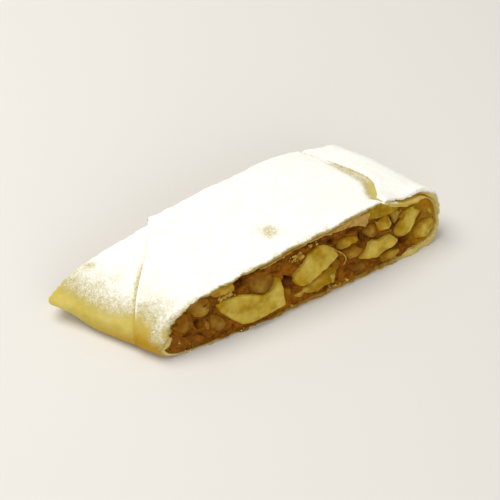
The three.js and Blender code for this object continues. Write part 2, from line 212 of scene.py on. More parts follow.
def place(x, y, z):
    """Points in the part's own millimetres, one row for each."""
    x, y, z = np.broadcast_arrays(x, y, z)
    x, y, z = curled_tip(x, y, sunk_edge(x, y, z))
    slant = SLANT.left + SLANT.gain * across(x)
    height = np.maximum(0, z + sway(x, y, z))
    return np.stack([x + slant * y - FOOTPRINT_MIDDLE[0], y - FOOTPRINT_MIDDLE[1], height], axis=-1)


print("front end of the crown on the part, in mm:", place(96.0, front_cut(96, CROWN), CROWN).round(1))


# %% [markdown]
# ## Unevenness
# Food has no perfect surfaces. Noise nodes could only shade them, so the points themselves are moved, by
# smooth random lumps of a chosen size in millimetres: the same function at several sizes makes dough swell,
# apple dent and mash crumble. Each random draw has a fixed seed, so that every run makes the same slice.

# %% Smooth random lumps
LATTICE = np.random.default_rng(5).uniform(-1, 1, (32, 32, 32))


def lumps(points, size, shift=0.0):
    """Smooth lumps of about size millimetres, from -1 to 1. Another shift gives other lumps."""
    q = np.asarray(points) / size + shift
    cell = np.floor(q).astype(int)
    f = q - cell
    f = f * f * (3 - 2 * f)
    total = 0
    for corner in np.ndindex(2, 2, 2):
        weight = np.prod([f[..., k] if corner[k] else 1 - f[..., k] for k in range(3)], axis=0)
        total = total + weight * LATTICE[tuple((cell[..., k] + corner[k]) % 32 for k in range(3))]
    return total


def stacked(*parts):
    """Arrays of x, y and z as one array of points."""
    return np.stack(np.broadcast_arrays(*parts), axis=-1)


print("5 mm lumps, each 2 mm:", lumps(stacked(np.arange(0.0, 12, 2), 0, 0), 5).round(2))


# %% [markdown]
# ## Materials
# Each material starts from what the thing is: baked dough, powdered sugar, wet cooked apple. Colours are
# written as sRGB hex, as an eye would pick them, and one function turns them to the linear values that
# Blender works with. Another adds a node, sets it and links it.

# %% Colour and node helpers
def srgb(code):
    """The linear values of an sRGB hex colour."""
    parts = [int(code[i:i + 2], 16) / 255 for i in (1, 3, 5)]
    return tuple(c / 12.92 if c <= 0.04045 else ((c + 0.055) / 1.055) ** 2.4 for c in parts) + (1.0,)


def node(tree, kind, inputs=None, out=0, **settings):
    """Adds a node, whose inputs are values, hex colours or other nodes' outputs, and returns an output."""
    made = tree.nodes.new("ShaderNode" + kind)
    for key, value in settings.items():
        setattr(made, key, value)
    for key, value in (inputs or {}).items():
        if isinstance(value, bpy.types.NodeSocket):
            tree.links.new(value, made.inputs[key])
        else:
            made.inputs[key].default_value = srgb(value) if isinstance(value, str) else value
    return made.outputs[out]


print("mid grey, #808080, in linear values:", round(srgb("#808080")[0], 3))


def material_from(name, build):
    """A new material with the shader that build(add, coords) returns, where add adds a node to its tree."""
    material = bpy.data.materials.new(name)
    material.use_nodes = True
    tree = material.node_tree
    tree.nodes.clear()
    add = functools.partial(node, tree)
    shader = build(add, add("TexCoord", out="Object"))
    output = tree.nodes.new("ShaderNodeOutputMaterial")
    tree.links.new(shader, output.inputs["Surface"])
    print(f"made {name} with {len(tree.nodes)} nodes")
    return material


# %% [markdown]
# The Mix node has sockets for every kind of data, so its colour ones are reached by number. Object
# coordinates are in metres, so a grain of some millimetres needs a noise scale of 1000 divided by them.

# %% Sockets of a colour mix, and grain sizes
FACTOR, COLOR_A, COLOR_B = 0, 6, 7
COLORS = {"data_type": "RGBA", "out": 2}


def grain(size):
    """The noise scale for grains of this size in millimetres."""
    return 1000 / size


print("noise scale for grains of 1 mm:", grain(1))


# %% [markdown]
# ### Dusted dough
# Strudel dough bakes to a dull pale yellow skin, a little see-through because it is thin and rich in butter.
# Where it was cut it is cream, and where juice soaked it, brown and moist. Icing sugar lies on it as a fine
# powder, so the dusting is part of this finish: the mesh says how thick it is, and noise as fine as the
# powder's clumps decides where dough shows through. A real clump is half a millimetre; it is drawn at 0.8 mm,
# because finer specks would blur to grey. That gives the speckled fringe of a dusting, which a plain blend
# can't.

# %% Dusted dough
SWELL, FLECK, CLUMP, SPECK, POWDER_PATCH, POWDER_GRAIN = 8, 2.2, 2.6, 0.8, 6, 0.7


def dusted_dough(add, coords):
    carried = "sugar", "cut", "soak", "baked"
    sugar, cut, soak, baked = (add("Attribute", out="Fac", attribute_name=name) for name in carried)

    # The baked skin, golden where butter ran.
    swells = add("TexNoise", {"Vector": coords, "Scale": grain(SWELL), "Detail": 3.0, "Roughness": 0.6})
    clouds = add("MapRange", {"Value": swells, "From Min": 0.35, "From Max": 0.65})
    pale = add("Mix", {FACTOR: clouds, COLOR_A: "#dbcb78", COLOR_B: "#ccba58"}, **COLORS)
    skin = add("Mix", {FACTOR: baked, COLOR_A: pale, COLOR_B: "#bf961c"}, **COLORS)

    # The cut face, cream where it stayed dry and brown where it is soaked.
    flecks = add("TexNoise", {"Vector": coords, "Scale": grain(FLECK), "Detail": 4.0, "Roughness": 0.65})
    cream = add("Mix", {FACTOR: flecks, COLOR_A: "#e8d888", COLOR_B: "#cbae4c"}, **COLORS)
    seeped = add("MapRange", {"Value": flecks, "From Min": 0.35, "From Max": 0.65})
    brown = add("Mix", {FACTOR: seeped, COLOR_A: "#ac8420", COLOR_B: "#78520a"}, **COLORS)
    inside = add("Mix", {FACTOR: soak, COLOR_A: cream, COLOR_B: brown}, **COLORS)
    dough = add("Mix", {FACTOR: cut, COLOR_A: skin, COLOR_B: inside}, **COLORS)

    # Where the powder covers: its thickness, plus or minus specks that matter most where it is half thick.
    clumps = add("TexNoise", {"Vector": coords, "Scale": grain(CLUMP), "Detail": 2.0, "Roughness": 0.6})
    specks = add("TexNoise", {"Vector": coords, "Scale": grain(SPECK), "Detail": 2.0, "Roughness": 0.6})
    specks = add("Math", {0: specks, 1: 0.65}, operation="MULTIPLY")
    speckle = add("Math", {0: clumps, 1: 0.35, 2: specks}, operation="MULTIPLY_ADD")
    ranges = {"From Min": 0.36, "From Max": 0.64, "To Min": -0.34, "To Max": 0.34}
    speckle = add("MapRange", {"Value": speckle, **ranges})
    missing = add("Math", {0: sugar, 1: -1.0, 2: 1.0}, operation="MULTIPLY_ADD")
    fringe = add("Math", {0: missing, 1: sugar}, operation="MULTIPLY")
    fringe = add("Math", {0: fringe, 1: 4.0}, operation="MULTIPLY", use_clamp=True)
    fringe = add("Math", {0: fringe, 1: 0.6}, operation="POWER")
    cover = add("Math", {0: sugar, 1: 1.12, 2: -0.04}, operation="MULTIPLY_ADD")
    powder = add("Math", {0: fringe, 1: speckle, 2: cover}, operation="MULTIPLY_ADD", use_clamp=True)

    # White powder over dough that its thin edge shades.
    patches = add("TexNoise", {
        "Vector": coords, "Scale": grain(POWDER_PATCH), "Detail": 3.0, "Roughness": 0.6,
    })
    patches = add("MapRange", {"Value": patches, "From Min": 0.4, "From Max": 0.7})
    white = add("Mix", {FACTOR: patches, COLOR_A: "#fffdf2", COLOR_B: "#fcf8ea"}, **COLORS)
    shaded = add("Mix", {FACTOR: fringe, COLOR_A: dough, COLOR_B: "#bfb070"}, **COLORS)
    color = add("Mix", {FACTOR: powder, COLOR_A: shaded, COLOR_B: white}, **COLORS)

    # Real powder is far finer than this relief, which is as coarse as it needs to be to show.
    fine = add("TexNoise", {"Vector": coords, "Scale": grain(POWDER_GRAIN), "Detail": 3.0, "Roughness": 0.7})
    bump = add("Bump", {"Strength": 0.3, "Distance": 0.25 * MM, "Height": fine})
    moist = add("MapRange", {"Value": cut, "To Min": 0.72, "To Max": 0.45})
    rough = add("Math", {0: moist, 1: powder}, operation="MAXIMUM")
    return add("BsdfPrincipled", {
        "Base Color": color, "Roughness": rough, "Normal": bump, "IOR": 1.45, "Specular IOR Level": 0.2,
        "Subsurface Weight": 0.2, "Subsurface Radius": (1.0, 0.7, 0.3), "Subsurface Scale": 1.0 * MM,
    })


DUSTED_DOUGH = material_from("baked_dough_dusted_with_icing_sugar", dusted_dough)


# %% [markdown]
# ### Cooked apple
# Apple flesh turns glassy when it cooks: yellow, see-through for a millimetre or two, and wet. Its fibres
# show as faint flecks, and cinnamon juice browns its edges. IOR 1.36 is that of fruit juice.

# %% Cooked apple
CLOUD, FIBRE = 5, 1.2


def cooked_apple(add, coords):
    carried = "brown", "golden", "edge"
    brown, golden, edge = (add("Attribute", out="Fac", attribute_name=name) for name in carried)
    clouds = add("TexNoise", {"Vector": coords, "Scale": grain(CLOUD), "Detail": 4.0, "Roughness": 0.6})
    clouds = add("MapRange", {"Value": clouds, "From Min": 0.3, "From Max": 0.7})
    fibres = add("TexNoise", {"Vector": coords, "Scale": grain(FIBRE), "Detail": 3.0, "Roughness": 0.6})
    pale = add("Mix", {FACTOR: clouds, COLOR_A: "#dac45e", COLOR_B: "#c2a02c"}, **COLORS)
    glassy = add("Mix", {FACTOR: clouds, COLOR_A: "#c69c12", COLOR_B: "#9a7204"}, **COLORS)
    stewed = add("Mix", {FACTOR: clouds, COLOR_A: "#905408", COLOR_B: "#6c3e02"}, **COLORS)
    flesh = add("Mix", {FACTOR: golden, COLOR_A: pale, COLOR_B: glassy}, **COLORS)
    flesh = add("Mix", {FACTOR: brown, COLOR_A: flesh, COLOR_B: stewed}, **COLORS)
    stain = add("Math", {0: fibres, 1: 0.7, 2: edge}, operation="MULTIPLY_ADD")
    stain = add("MapRange", {"Value": stain, "From Min": 0.6, "From Max": 1.5, "To Max": 0.4})
    color = add("Mix", {FACTOR: stain, COLOR_A: flesh, COLOR_B: "#6a4602"}, **COLORS)
    bump = add("Bump", {"Strength": 0.35, "Distance": 0.3 * MM, "Height": fibres})
    return add("BsdfPrincipled", {
        "Base Color": color, "Roughness": 0.4, "Normal": bump, "IOR": 1.36,
        "Specular IOR Level": 0.1, "Subsurface Weight": 0.6,
        "Subsurface Radius": (1.0, 0.7, 0.2), "Subsurface Scale": 2.0 * MM,
    })


COOKED_APPLE = material_from("cooked_apple_wet_with_juice", cooked_apple)


# %% [markdown]
# ### Cinnamon mash, raisins, crumbs and soaked dough
# Between the pieces lies apple that fell apart, brown with cinnamon and juice: wet, in grains of a millimetre
# or two. Its hollows are darkened towards near black, which is painted shade, and near the right end butter
# makes it golden: both are values that its mesh carries and that are 0 on the others. A raisin's skin
# wrinkled as it dried and swelled again in the juice, so it is dark and shiny. Crumbs were fried in butter to
# a dry gold. The dough's inner layers were boiled rather than baked, matt where juice got in and glossy where
# butter did. All are built the same way, from two colours, a grain size in millimetres and a roughness.

# %% Mottled wet things
def mottled(light, dark, grain_size, roughness):
    def build(add, coords):
        golden, hollow_shade = (add("Attribute", out="Fac", attribute_name=name) for name in ("golden", "hollow_shade"))
        patches = {"Vector": coords, "Scale": grain(3.5 * grain_size), "Detail": 3.0, "Roughness": 0.6}
        grains = {"Vector": coords, "Scale": grain(grain_size), "Detail": 4.0, "Roughness": 0.7}
        patches, grains = add("TexNoise", patches), add("TexNoise", grains)
        both = add("Math", {0: patches, 1: grains}, operation="ADD")
        mottle = add("MapRange", {"Value": both, "From Min": 0.8, "From Max": 1.2})
        color = add("Mix", {FACTOR: mottle, COLOR_A: dark, COLOR_B: light}, **COLORS)
        color = add("Mix", {FACTOR: golden, COLOR_A: color, COLOR_B: "#b0800e"}, **COLORS)
        # Painted shade: the mash is darkened towards near black in and around its hollows.
        color = add("Mix", {FACTOR: hollow_shade, COLOR_A: color, COLOR_B: "#2c1400"}, **COLORS)
        bump = add("Bump", {"Strength": 0.6, "Distance": 0.4 * grain_size * MM, "Height": grains})
        return add("BsdfPrincipled", {
            "Base Color": color, "Roughness": roughness, "Normal": bump, "IOR": 1.38,
            "Specular IOR Level": 0.05, "Subsurface Weight": 0.2,
            "Subsurface Radius": (1.0, 0.45, 0.15), "Subsurface Scale": 1.0 * MM,
        })
    return build


CINNAMON_MASH = material_from("cinnamon_apple_mash", mottled("#a0610e", "#583202", 1.9, 0.45))
RAISIN_SKIN = material_from("raisin_skin_swollen_with_juice", mottled("#703c06", "#421e02", 0.9, 0.4))
BUTTERED_CRUMB = material_from("buttered_crumb", mottled("#dab45a", "#a87a22", 0.7, 0.55))
SOAKED_DOUGH = material_from("dough_soaked_with_juice", mottled("#d0aa5c", "#a67c34", 1.8, 0.5))
BUTTERY_DOUGH = material_from("dough_glossy_with_butter", mottled("#c09a28", "#94720a", 5.0, 0.4))


# %% [markdown]
# ### Loose icing sugar
# Ground sugar is white and matt, because each grain scatters light many times over.

# %% Icing sugar
def icing_sugar(add, coords):
    tints = add("TexNoise", {"Vector": coords, "Scale": grain(2), "Detail": 3.0, "Roughness": 0.6})
    color = add("Mix", {FACTOR: tints, COLOR_A: "#fffefa", COLOR_B: "#f6f0e0"}, **COLORS)
    return add("BsdfPrincipled", {
        "Base Color": color, "Roughness": 0.9, "IOR": 1.5, "Subsurface Weight": 0.2,
        "Subsurface Radius": (1.0, 1.0, 1.0), "Subsurface Scale": 0.3 * MM,
    })


ICING_SUGAR = material_from("loose_icing_sugar", icing_sugar)


# %% [markdown]
# ## Making a piece
# Every piece is a mesh computed as arrays, which is the quickest way to fine, repeatable detail. One function
# turns the arrays into an object, stores per-point values such as the dusting's thickness for the materials,
# and says which body it rides on. Its faces all turn outwards, as the light's way through the flesh needs it.

# %% From arrays to a piece
def volume(points, faces):
    """Signed volume, negative where the faces point inwards."""
    total = 0.0
    for size in {len(f) for f in faces}:
        group = points[np.array([f for f in faces if len(f) == size])]
        for k in range(1, size - 1):
            total += np.einsum("ij,ij->", group[:, 0], np.cross(group[:, k], group[:, k + 1]))
    return total / 6


def outward(points, faces):
    """The same faces, all of them turned outwards."""
    return faces if volume(points, faces) > 0 else [f[::-1] for f in faces]


def make_piece(name, points, faces, material, slot, **values):
    """A piece from points in millimetres, with values for its material at each point."""
    mesh = bpy.data.meshes.new(name)
    mesh.from_pydata((points * MM).tolist(), [], faces)
    for key, value in values.items():
        data = mesh.attributes.new(key, "FLOAT", "POINT").data
        data.foreach_set("value", np.ascontiguousarray(value, dtype=np.float32))
    mesh.materials.append(material)
    mesh.shade_smooth()
    piece = bpy.data.objects.new(name, mesh)
    bpy.context.scene.collection.objects.link(piece)
    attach(piece, "root")
    print(f"{name}: {len(points)} points, {sum(len(f) - 2 for f in faces)} triangles")
    return piece


CORNER_POINTS = np.array([(0, 0, 0), (1, 0, 0), (0, 1, 0), (0, 0, 1)])
CORNER_FACES = [(0, 2, 1), (0, 1, 3), (0, 3, 2), (1, 2, 3)]
print("a corner cut off a unit cube has volume", round(volume(CORNER_POINTS, CORNER_FACES), 3))


# %% [markdown]
# ## The dough
# A dough layer is a strip with two sides, a cut edge at each end and, unless it goes all the way round, two
# long edges. Its points are a grid: steps along the section, times one lap round the layer, from its outer
# side over the back cut to its inner side and back over the front cut. So all of it is one closed mesh, and
# the cut edges get points of their own. A knife leaves soft dough slightly rounded there, by about half a
# millimetre.

# %% A closed layer of dough
CAP = np.array([0.02, 0.06, 0.13, 0.22, 0.34, 0.5, 0.66, 0.78, 0.87, 0.94, 0.98])  # shares of the thickness
ROUNDING, ROUND_SHARE = 0.5, 0.3  # millimetres of rounding, over this share of the thickness on each side
print(len(CAP), "points across a cut edge")


def lap(steps):
    """One lap: v from cut to cut, d from the outer side to the inner, and how far the rounding draws back."""
    even = np.linspace(0, 1, steps)
    v = mix(even, 0.5 - 0.5 * np.cos(math.pi * even), 0.45)
    corner = 1 - np.minimum(np.minimum(CAP, 1 - CAP) / ROUND_SHARE, 1)
    cap_back = ROUNDING * (1 - np.sqrt(1 - corner ** 2))
    side_back = np.full(steps, ROUNDING)
    lap_v = np.concatenate([v, np.ones_like(CAP), v[::-1], np.zeros_like(CAP)])
    lap_d = np.concatenate([np.zeros_like(v), CAP, np.ones_like(v), CAP[::-1]])
    return lap_v, lap_d, np.concatenate([side_back, cap_back, side_back, cap_back[::-1]])


def long_edge(first, columns, steps, turn):
    """Faces that close a layer's long edge, whose lap starts at point first."""
    spare = len(CAP)
    outer = [first + k for k in range(steps)]
    back = [first + steps + k for k in range(spare)]
    inner = [first + 2 * steps + spare - 1 - k for k in range(steps)]
    front = [first + columns - 1 - k for k in range(spare)]
    faces = []
    for k in range(steps - 1):
        near, far = [outer[k], inner[k]], [inner[k + 1], outer[k + 1]]
        if k == 0:
            near = [outer[0], *front, inner[0]]
        if k == steps - 2:
            far = [inner[-1], *back[::-1], outer[-1]]
        faces.append((near + far)[::turn])
    return faces


def make_layer(name, at, u, steps, closed, material=DUSTED_DOUGH):
    """at(u, v, d, back) gives x, y, z on the slice and a dict of values for the material."""
    lap_v, lap_d, lap_back = lap(steps)
    x, y, z, values = at(u[:, None], lap_v[None, :], lap_d[None, :], lap_back[None, :])
    points = place(x, y, z).reshape(-1, 3)
    rows, columns = len(u), len(lap_v)
    i = np.arange(rows if closed else rows - 1)[:, None]
    j = np.arange(columns)[None, :]
    after, beside = (i + 1) % rows, (j + 1) % columns
    corners = [i * columns + j, i * columns + beside, after * columns + beside, after * columns + j]
    faces = stacked(*corners).reshape(-1, 4).tolist()
    if not closed:
        faces += long_edge(0, columns, steps, 1) + long_edge((rows - 1) * columns, columns, steps, -1)
    values = {key: np.broadcast_to(value, (rows, columns)).reshape(-1) for key, value in values.items()}
    layer = make_piece(name, points, outward(points, faces), material, "pastry", **values)
    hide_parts("pastry")
    return layer


# %% [markdown]
# The strips' edges are what the eye follows over the top. The main strip's edge runs from the front bottom
# corner over the left end to the back of the top. The right strip's edge bows across the crown, with a crease
# beside it in which the main strip dips under. Strips and sheet share these few functions, so an edge that
# moves takes its neighbours with it.

# %% Edges of the strips
MAIN_EDGE = Sizes(start=0.3, climb=1.57, bow=2.2, bow_length=46)
RIGHT_EDGE = Sizes(farthest=121.2, at=28, straight=11, front_bow=0.0116, back_bow=0.01)


def main_edge_arc(y):
    """Distance along the section to the main strip's edge, which climbs as it runs back."""
    climbed = 0.5 + MAIN_EDGE.climb * y + MAIN_EDGE.bow * np.sin(math.pi * y / MAIN_EDGE.bow_length)
    return MAIN_EDGE.start + climbed * smooth(4, 10, y)


def right_edge_x(y):
    """x of the right strip's edge, which is straight at the front and then bows out to the right."""
    before = np.maximum(0, RIGHT_EDGE.at - np.maximum(RIGHT_EDGE.straight, y))
    behind = np.maximum(0, y - RIGHT_EDGE.at)
    return RIGHT_EDGE.farthest - RIGHT_EDGE.front_bow * before ** 2.4 - RIGHT_EDGE.back_bow * behind ** 2


RIGHT_STRIP_END = np.interp(17.25 / len(SECTION), SHARES, ARCS)  # just under the right end
print("the right strip's edge, from front to back: x", right_edge_x(np.array([0, 14, 28, 42])).round(1))


def edge_along(v, arc_at, guess):
    """Arc of a strip's edge at each share v between the cuts, where arc_at gives it for each y."""
    arc = guess + 0 * v
    for _ in range(12):
        arc = 0.5 * (arc + arc_at(on_skin(arc, v)[1]))
    return arc


# %% The crease beside the right strip, and the strips' own edges
CREASE = Sizes(wide=5.8, deep=1.3)


def crease_start(y):
    """x where the main strip begins to dip towards the right strip's edge."""
    wide = CREASE.wide * smooth(6, 16, y) * (1 - 0.4 * smooth(27, 37, y)) * (1 - smooth(36, 43, y))
    return right_edge_x(y) - wide


def crease_depth(x, y):
    """How deep the main strip dips beside the right strip's edge."""
    return CREASE.deep * smooth(crease_start(y) - 2.5, right_edge_x(y) - 0.5, x)


def edge_depth(distance, rise, reach, rounding):
    """Depth of a strip's upper side near its edge: raised beside it, rounded off at the very edge."""
    return rounding * (1 - smooth(0, 1.2, distance)) - rise * hump(0, reach, distance)


crease_x = np.linspace(crease_start(20), right_edge_x(20), 4)
print("the crease at y 20, from its start to the edge:", crease_depth(crease_x, 20).round(2), "mm deep")


# %% Where the top of each layer lies, as a depth under the skin
STRIP = 1.4  # thickness of a strip
PUFFED = Sizes(shoulder=1.2, nose=0.9)  # how much the right strip swells at these places


def sheet_top(z):
    """The sheet is the skin itself low down, and higher up it lies a strip's thickness under it."""
    return STRIP * smooth(0.5, 9, z)


def main_top(from_edge, x, y, z):
    """The main strip follows the skin, dips into the crease and stands up beside its own edge."""
    edge = edge_depth(from_edge, rise=0.35, reach=2.4, rounding=0.6)
    return crease_depth(x, y) + edge * smooth(3, 9, z)


def puffed(x, y, z):
    """How far the right strip has swelled outwards at its end."""
    off = PUFFED.shoulder * smooth(116, 127, x) + PUFFED.nose * hump(133, 4, x)
    return off * smooth(8, 19, z) * (1 - 0.7 * smooth(30, 46, y))


def loose_end(x, z, v):
    """1 where the right strip is no longer stuck to the sheet: at the right of the front cut."""
    return smooth(112, 117, x) * (1 - smooth(130, 134, x)) * smooth(14, 19, z) * smooth(0.7, 0.4, v)


def right_top(from_edge, x, y, z):
    """The right strip rises over the skin at its edge and where it has puffed up."""
    edge = edge_depth(from_edge, rise=0.4 - 0.2 * smooth(28, 42, y), reach=4, rounding=1.0)
    return edge - 0.1 - puffed(x, y, z)


def under_strips(arc, y):
    """1 where a strip lies on the sheet, 0 where the sheet is bare."""
    begun = smooth(-0.3, 0.8, arc - main_edge_arc(y))
    return begun * (1 - smooth(RIGHT_STRIP_END - 0.8, RIGHT_STRIP_END, arc))


print("the right strip swells by up to", puffed(np.arange(100, 136), 10, 25).max().round(1), "mm")


# %% [markdown]
# A sieve shakes sugar straight down, so what lies flat is white all over and what stands steep catches
# little: the dusting fades down both ends, and a few specks on top stayed thin. The fade is worked out here
# as one number from 0 to 1, because both the finish and the height of the powder need it.

# %% Thickness of the dusting
THIN_SPECKS = [  # x, y, half width, half depth, how much is missing
    (64.8, 15.6, 3.3, 2.9, 0.62), (67.0, 17.6, 2.0, 1.8, 0.3), (62.6, 13.6, 2.2, 1.8, 0.34),
    (14.5, 40.5, 1.8, 1.5, 0.55), (13, 31, 5, 3, 0.14), (10, 9, 4, 4, 0.2), (9, 13, 5, 3, 0.15),
    (6, 43, 7, 4, 0.1),
]
POWDER = 0.28  # millimetres of sugar where it lies thick
MIDDLE_X = 66  # about halfway between the noses


def dusting(x, y, z):
    """How much of the full thickness of sugar lies here."""
    # At the left end the lowest powder lies at an uneven height, and lower at the front corner.
    lowest = 12.2 - 0.8 * hump(23, 7, y) + 1.0 * smooth(28, 38, y) + 1.6 * hump(13, 4, y)
    lowest = lowest - 7 * smooth(8, 1, y)
    left = 0.84 * smooth(lowest, 22 + 2.5 * smooth(26, 42, y), z) + 0.16 * smooth(19, 27, z)
    left = left + 0.4 * hump(45, 3, y) * hump(-2, 4, x) * hump(7, 4, z)
    right = smooth(7, 19, z)
    cover = np.where(x < MIDDLE_X, left, right)
    for sx, sy, wide, deep, missing in THIN_SPECKS:
        cover = cover - missing * hump(sx, wide, x) * hump(sy, deep, y)
    return np.clip(cover, 0, 1)


def sugar_height(x, y, z, cover):
    """Millimetres of powder on the dough, a little lumpy."""
    points = stacked(x, y, z)
    return POWDER * cover * (0.7 + 0.3 * lumps(points, 3.5, 1.3) + 0.35 * lumps(points, 1.3, 5.9))


print("dusting up the left end:", dusting(0, 20, np.array([8, 14, 18, 22, 28])).round(2))


# %% [markdown]
# The knife leaves dough ragged. Crumbs tear out of its edge, and the filling pushes it to and fro. The back
# cut was the cleaner one, so the same unevenness is drawn there at about half its size. The knife also
# dragged the strips along, and at the left the dough has shrunk back from the front cut.

# %% What the knife did to the edges
PUSHED, TORN, CRUMBLED = 0.35, 0.5, 0.34  # millimetres to either side, in ever smaller waves
OVERHANG, DRAGGED = 2.2, 1.6  # over the back cut, and back from the front one at the crease
SHRUNK_LEFT, SHRUNK_END = 0.9, 1.5  # over the left half, and more at the left end


def at_cuts(v, reach=0.03):
    """1 at the front cut, about half at the back one, and 0 between them."""
    return hump(0, reach, v) + 0.55 * hump(1, reach, v)


def ragged(x, y, z, v):
    """How far a cut edge strays: a wave where the filling pushed it, and crumbs torn out by the knife."""
    points = stacked(x, y, z)
    waves = PUSHED * lumps(points, 9, 4.4) * at_cuts(v, 0.12)
    return waves + (TORN * lumps(points, 2.6, 3.1) + CRUMBLED * lumps(points, 1.0, 7.7)) * at_cuts(v)


def shrunk(x, v):
    """How far all the dough draws back from the front cut at the left."""
    by = SHRUNK_LEFT * smooth(70, 40, x) + SHRUNK_END * smooth(34, 20, x)
    return smooth(0.15, 0, v) * by * smooth(-2, 5, x)


def slid(x, v):
    """How far the knife dragged the strips, besides what they shrank."""
    overhang = OVERHANG * smooth(0.75, 1, v) * smooth(126, 114, x) * mix(0.4, 1, smooth(22, 34, x))
    return overhang + shrunk(x, v) + DRAGGED * smooth(0.15, 0, v) * hump(108, 7, x)


def cut_face(d, cover, end=0.5):
    """Sugar and cut values: powder covers an edge to a share of its thickness, and the rest is cut dough."""
    inside = smooth(end - 0.46, end, d)
    return {"sugar": cover * (1 - inside), "cut": inside}


print("raggedness through the slice:", at_cuts(np.linspace(0, 1, 5), 0.12).round(2))


# %% [markdown]
# ### The sheet under the strips
# The sheet is the dough's first layer: it wraps the filling once round. It is thick and soaked at the bottom
# and thin where the filling presses on the wall, and it shows at the left end, at the bottom and at the cuts.
# A solidified surface would have one thickness all over, so its outer and inner sides get a depth each.

# %% The sheet under the strips
WALL, WALL_RIGHT = 1.25, 0.8  # thickness of its walls before they swell, and how much more on the right
FLOOR = 1.4  # thickness of the bottom where it is thinnest


def wall_depth(x, z):
    """Depth of the sheet's inner side under the skin."""
    floor = FLOOR + 1.2 * smooth(6, 0, x) + 1.6 * smooth(44, 58, x) + 1.0 * smooth(113, 120, x)
    wall = STRIP + WALL + WALL_RIGHT * smooth(108, 122, x) - 1.1 * smooth(125, 132, x)
    wall = wall + 1.6 * smooth(12, 3, x) + 0.8 * hump(7, 4, x) * smooth(9, 14, z) + 0.6 * hump(114, 5, x)
    return mix(floor, wall, smooth(1, 9, z))


def line_beside_strip(from_edge, y):
    """1 in the bare line beside the main strip's edge, whose overhang kept the powder off."""
    line = hump(0, mix(2.6, 1.5, smooth(9, 18, y)), from_edge + 1.1)
    return line * (1 - 0.75 * smooth(22, 34, y))


def sheet_soak(x, z, d, low):
    """How far juice soaked the sheet: along its bottom, under the strips and inside its ends."""
    floor = mix(0.45, 1.0, smooth(12, 34, x)) * smooth(0, 8, x) * low * (1 - smooth(102, 118, x))
    under = 0.7 * smooth(9, 15, z) * (1 - smooth(108, 116, x))
    ends = smooth(0.5, 1, d) * (0.5 * smooth(114, 124, x) + 0.45 * smooth(5, 1, x) * (1 - low))
    return floor + under + ends


def sheet_at(arc, v, d, back):
    skin_x, skin_y, skin_z = on_skin(arc, v)
    under = under_strips(arc, skin_y)
    bare_line = line_beside_strip(arc - main_edge_arc(skin_y), skin_y)
    cover = dusting(skin_x, skin_y, skin_z) * (1 - under) * (1 - 0.95 * bare_line)
    crease = crease_depth(skin_x, skin_y) * (1 - smooth(1, 4, skin_x - right_edge_x(skin_y)))
    outer = np.maximum(sheet_top(skin_z) + 0.4 * under, under * (crease + 1.0) * (crease > 0.01))
    outer = outer - sugar_height(skin_x, skin_y, skin_z, cover)
    low = 1 - smooth(1, 6, skin_z)
    uneven = lumps(stacked(skin_x, skin_y, skin_z), 6, 8.1)
    inner = wall_depth(skin_x, skin_z) - (0.4 + 0.3 * uneven) * low * at_cuts(v, 0.15)
    x, z = on_section(arc, mix(outer, inner, d))
    # Where strips lie on it, its edge has drawn back a little further than theirs.
    set_back = 0.7 * smooth(12, 18, skin_z) * (1 - smooth(108, 114, skin_x)) + 1.6 * hump(107, 6, skin_x)
    y = between_cuts(x, z, v, back + under * set_back) + ragged(x, skin_y, z, v)
    squeezed = lumps(stacked(x, skin_y, 0), 7, 6.2) + 0.5 * lumps(stacked(x, skin_y, z), 2.4, 2.9)
    y = y + 0.5 * squeezed * low * at_cuts(v) + shrunk(skin_x, v) * (1 - low)
    golden = 0.15 + 0.85 * (1 - smooth(3, 12, skin_z)) * smooth(34, 6, skin_y)
    # Where the right strip is loose, the sheet's edge shows buttered skin and a thin line of cut dough.
    buttered = (1 - smooth(0.5, 0.7, d)) * loose_end(skin_x, skin_z, v)
    values = cut_face(d, np.maximum(cover, 0.3 * smooth(5, 1, skin_x) * smooth(0.1, 0.4, d)))
    values["cut"] = values["cut"] * (1 - buttered)
    values["soak"] = sheet_soak(skin_x, skin_z, d, low)
    values["baked"] = np.maximum(np.maximum(golden, 0.7 * under), 0.4 * bare_line * smooth(30, 12, skin_y))
    values["baked"] = mix(values["baked"], 0.5, buttered)
    return x, y, z, values


sheet_u = np.concatenate([np.arange(0, 62, 0.45), np.arange(62, AROUND - 0.5, 0.9)])
make_layer("dough_sheet", sheet_at, sheet_u, steps=80, closed=True)


# %% [markdown]
# ### The main strip
# This strip was laid over from the left and covers most of the top. Its edge was pressed down on the sheet,
# so the strip bulges a little beside it, and its other end dips under the right strip. A grid over the whole
# top would cut across its slanting edges, so its own steps run from edge to edge.

# %% The main strip
TUCKED_UNDER = 6  # millimetres that it runs on below the right strip


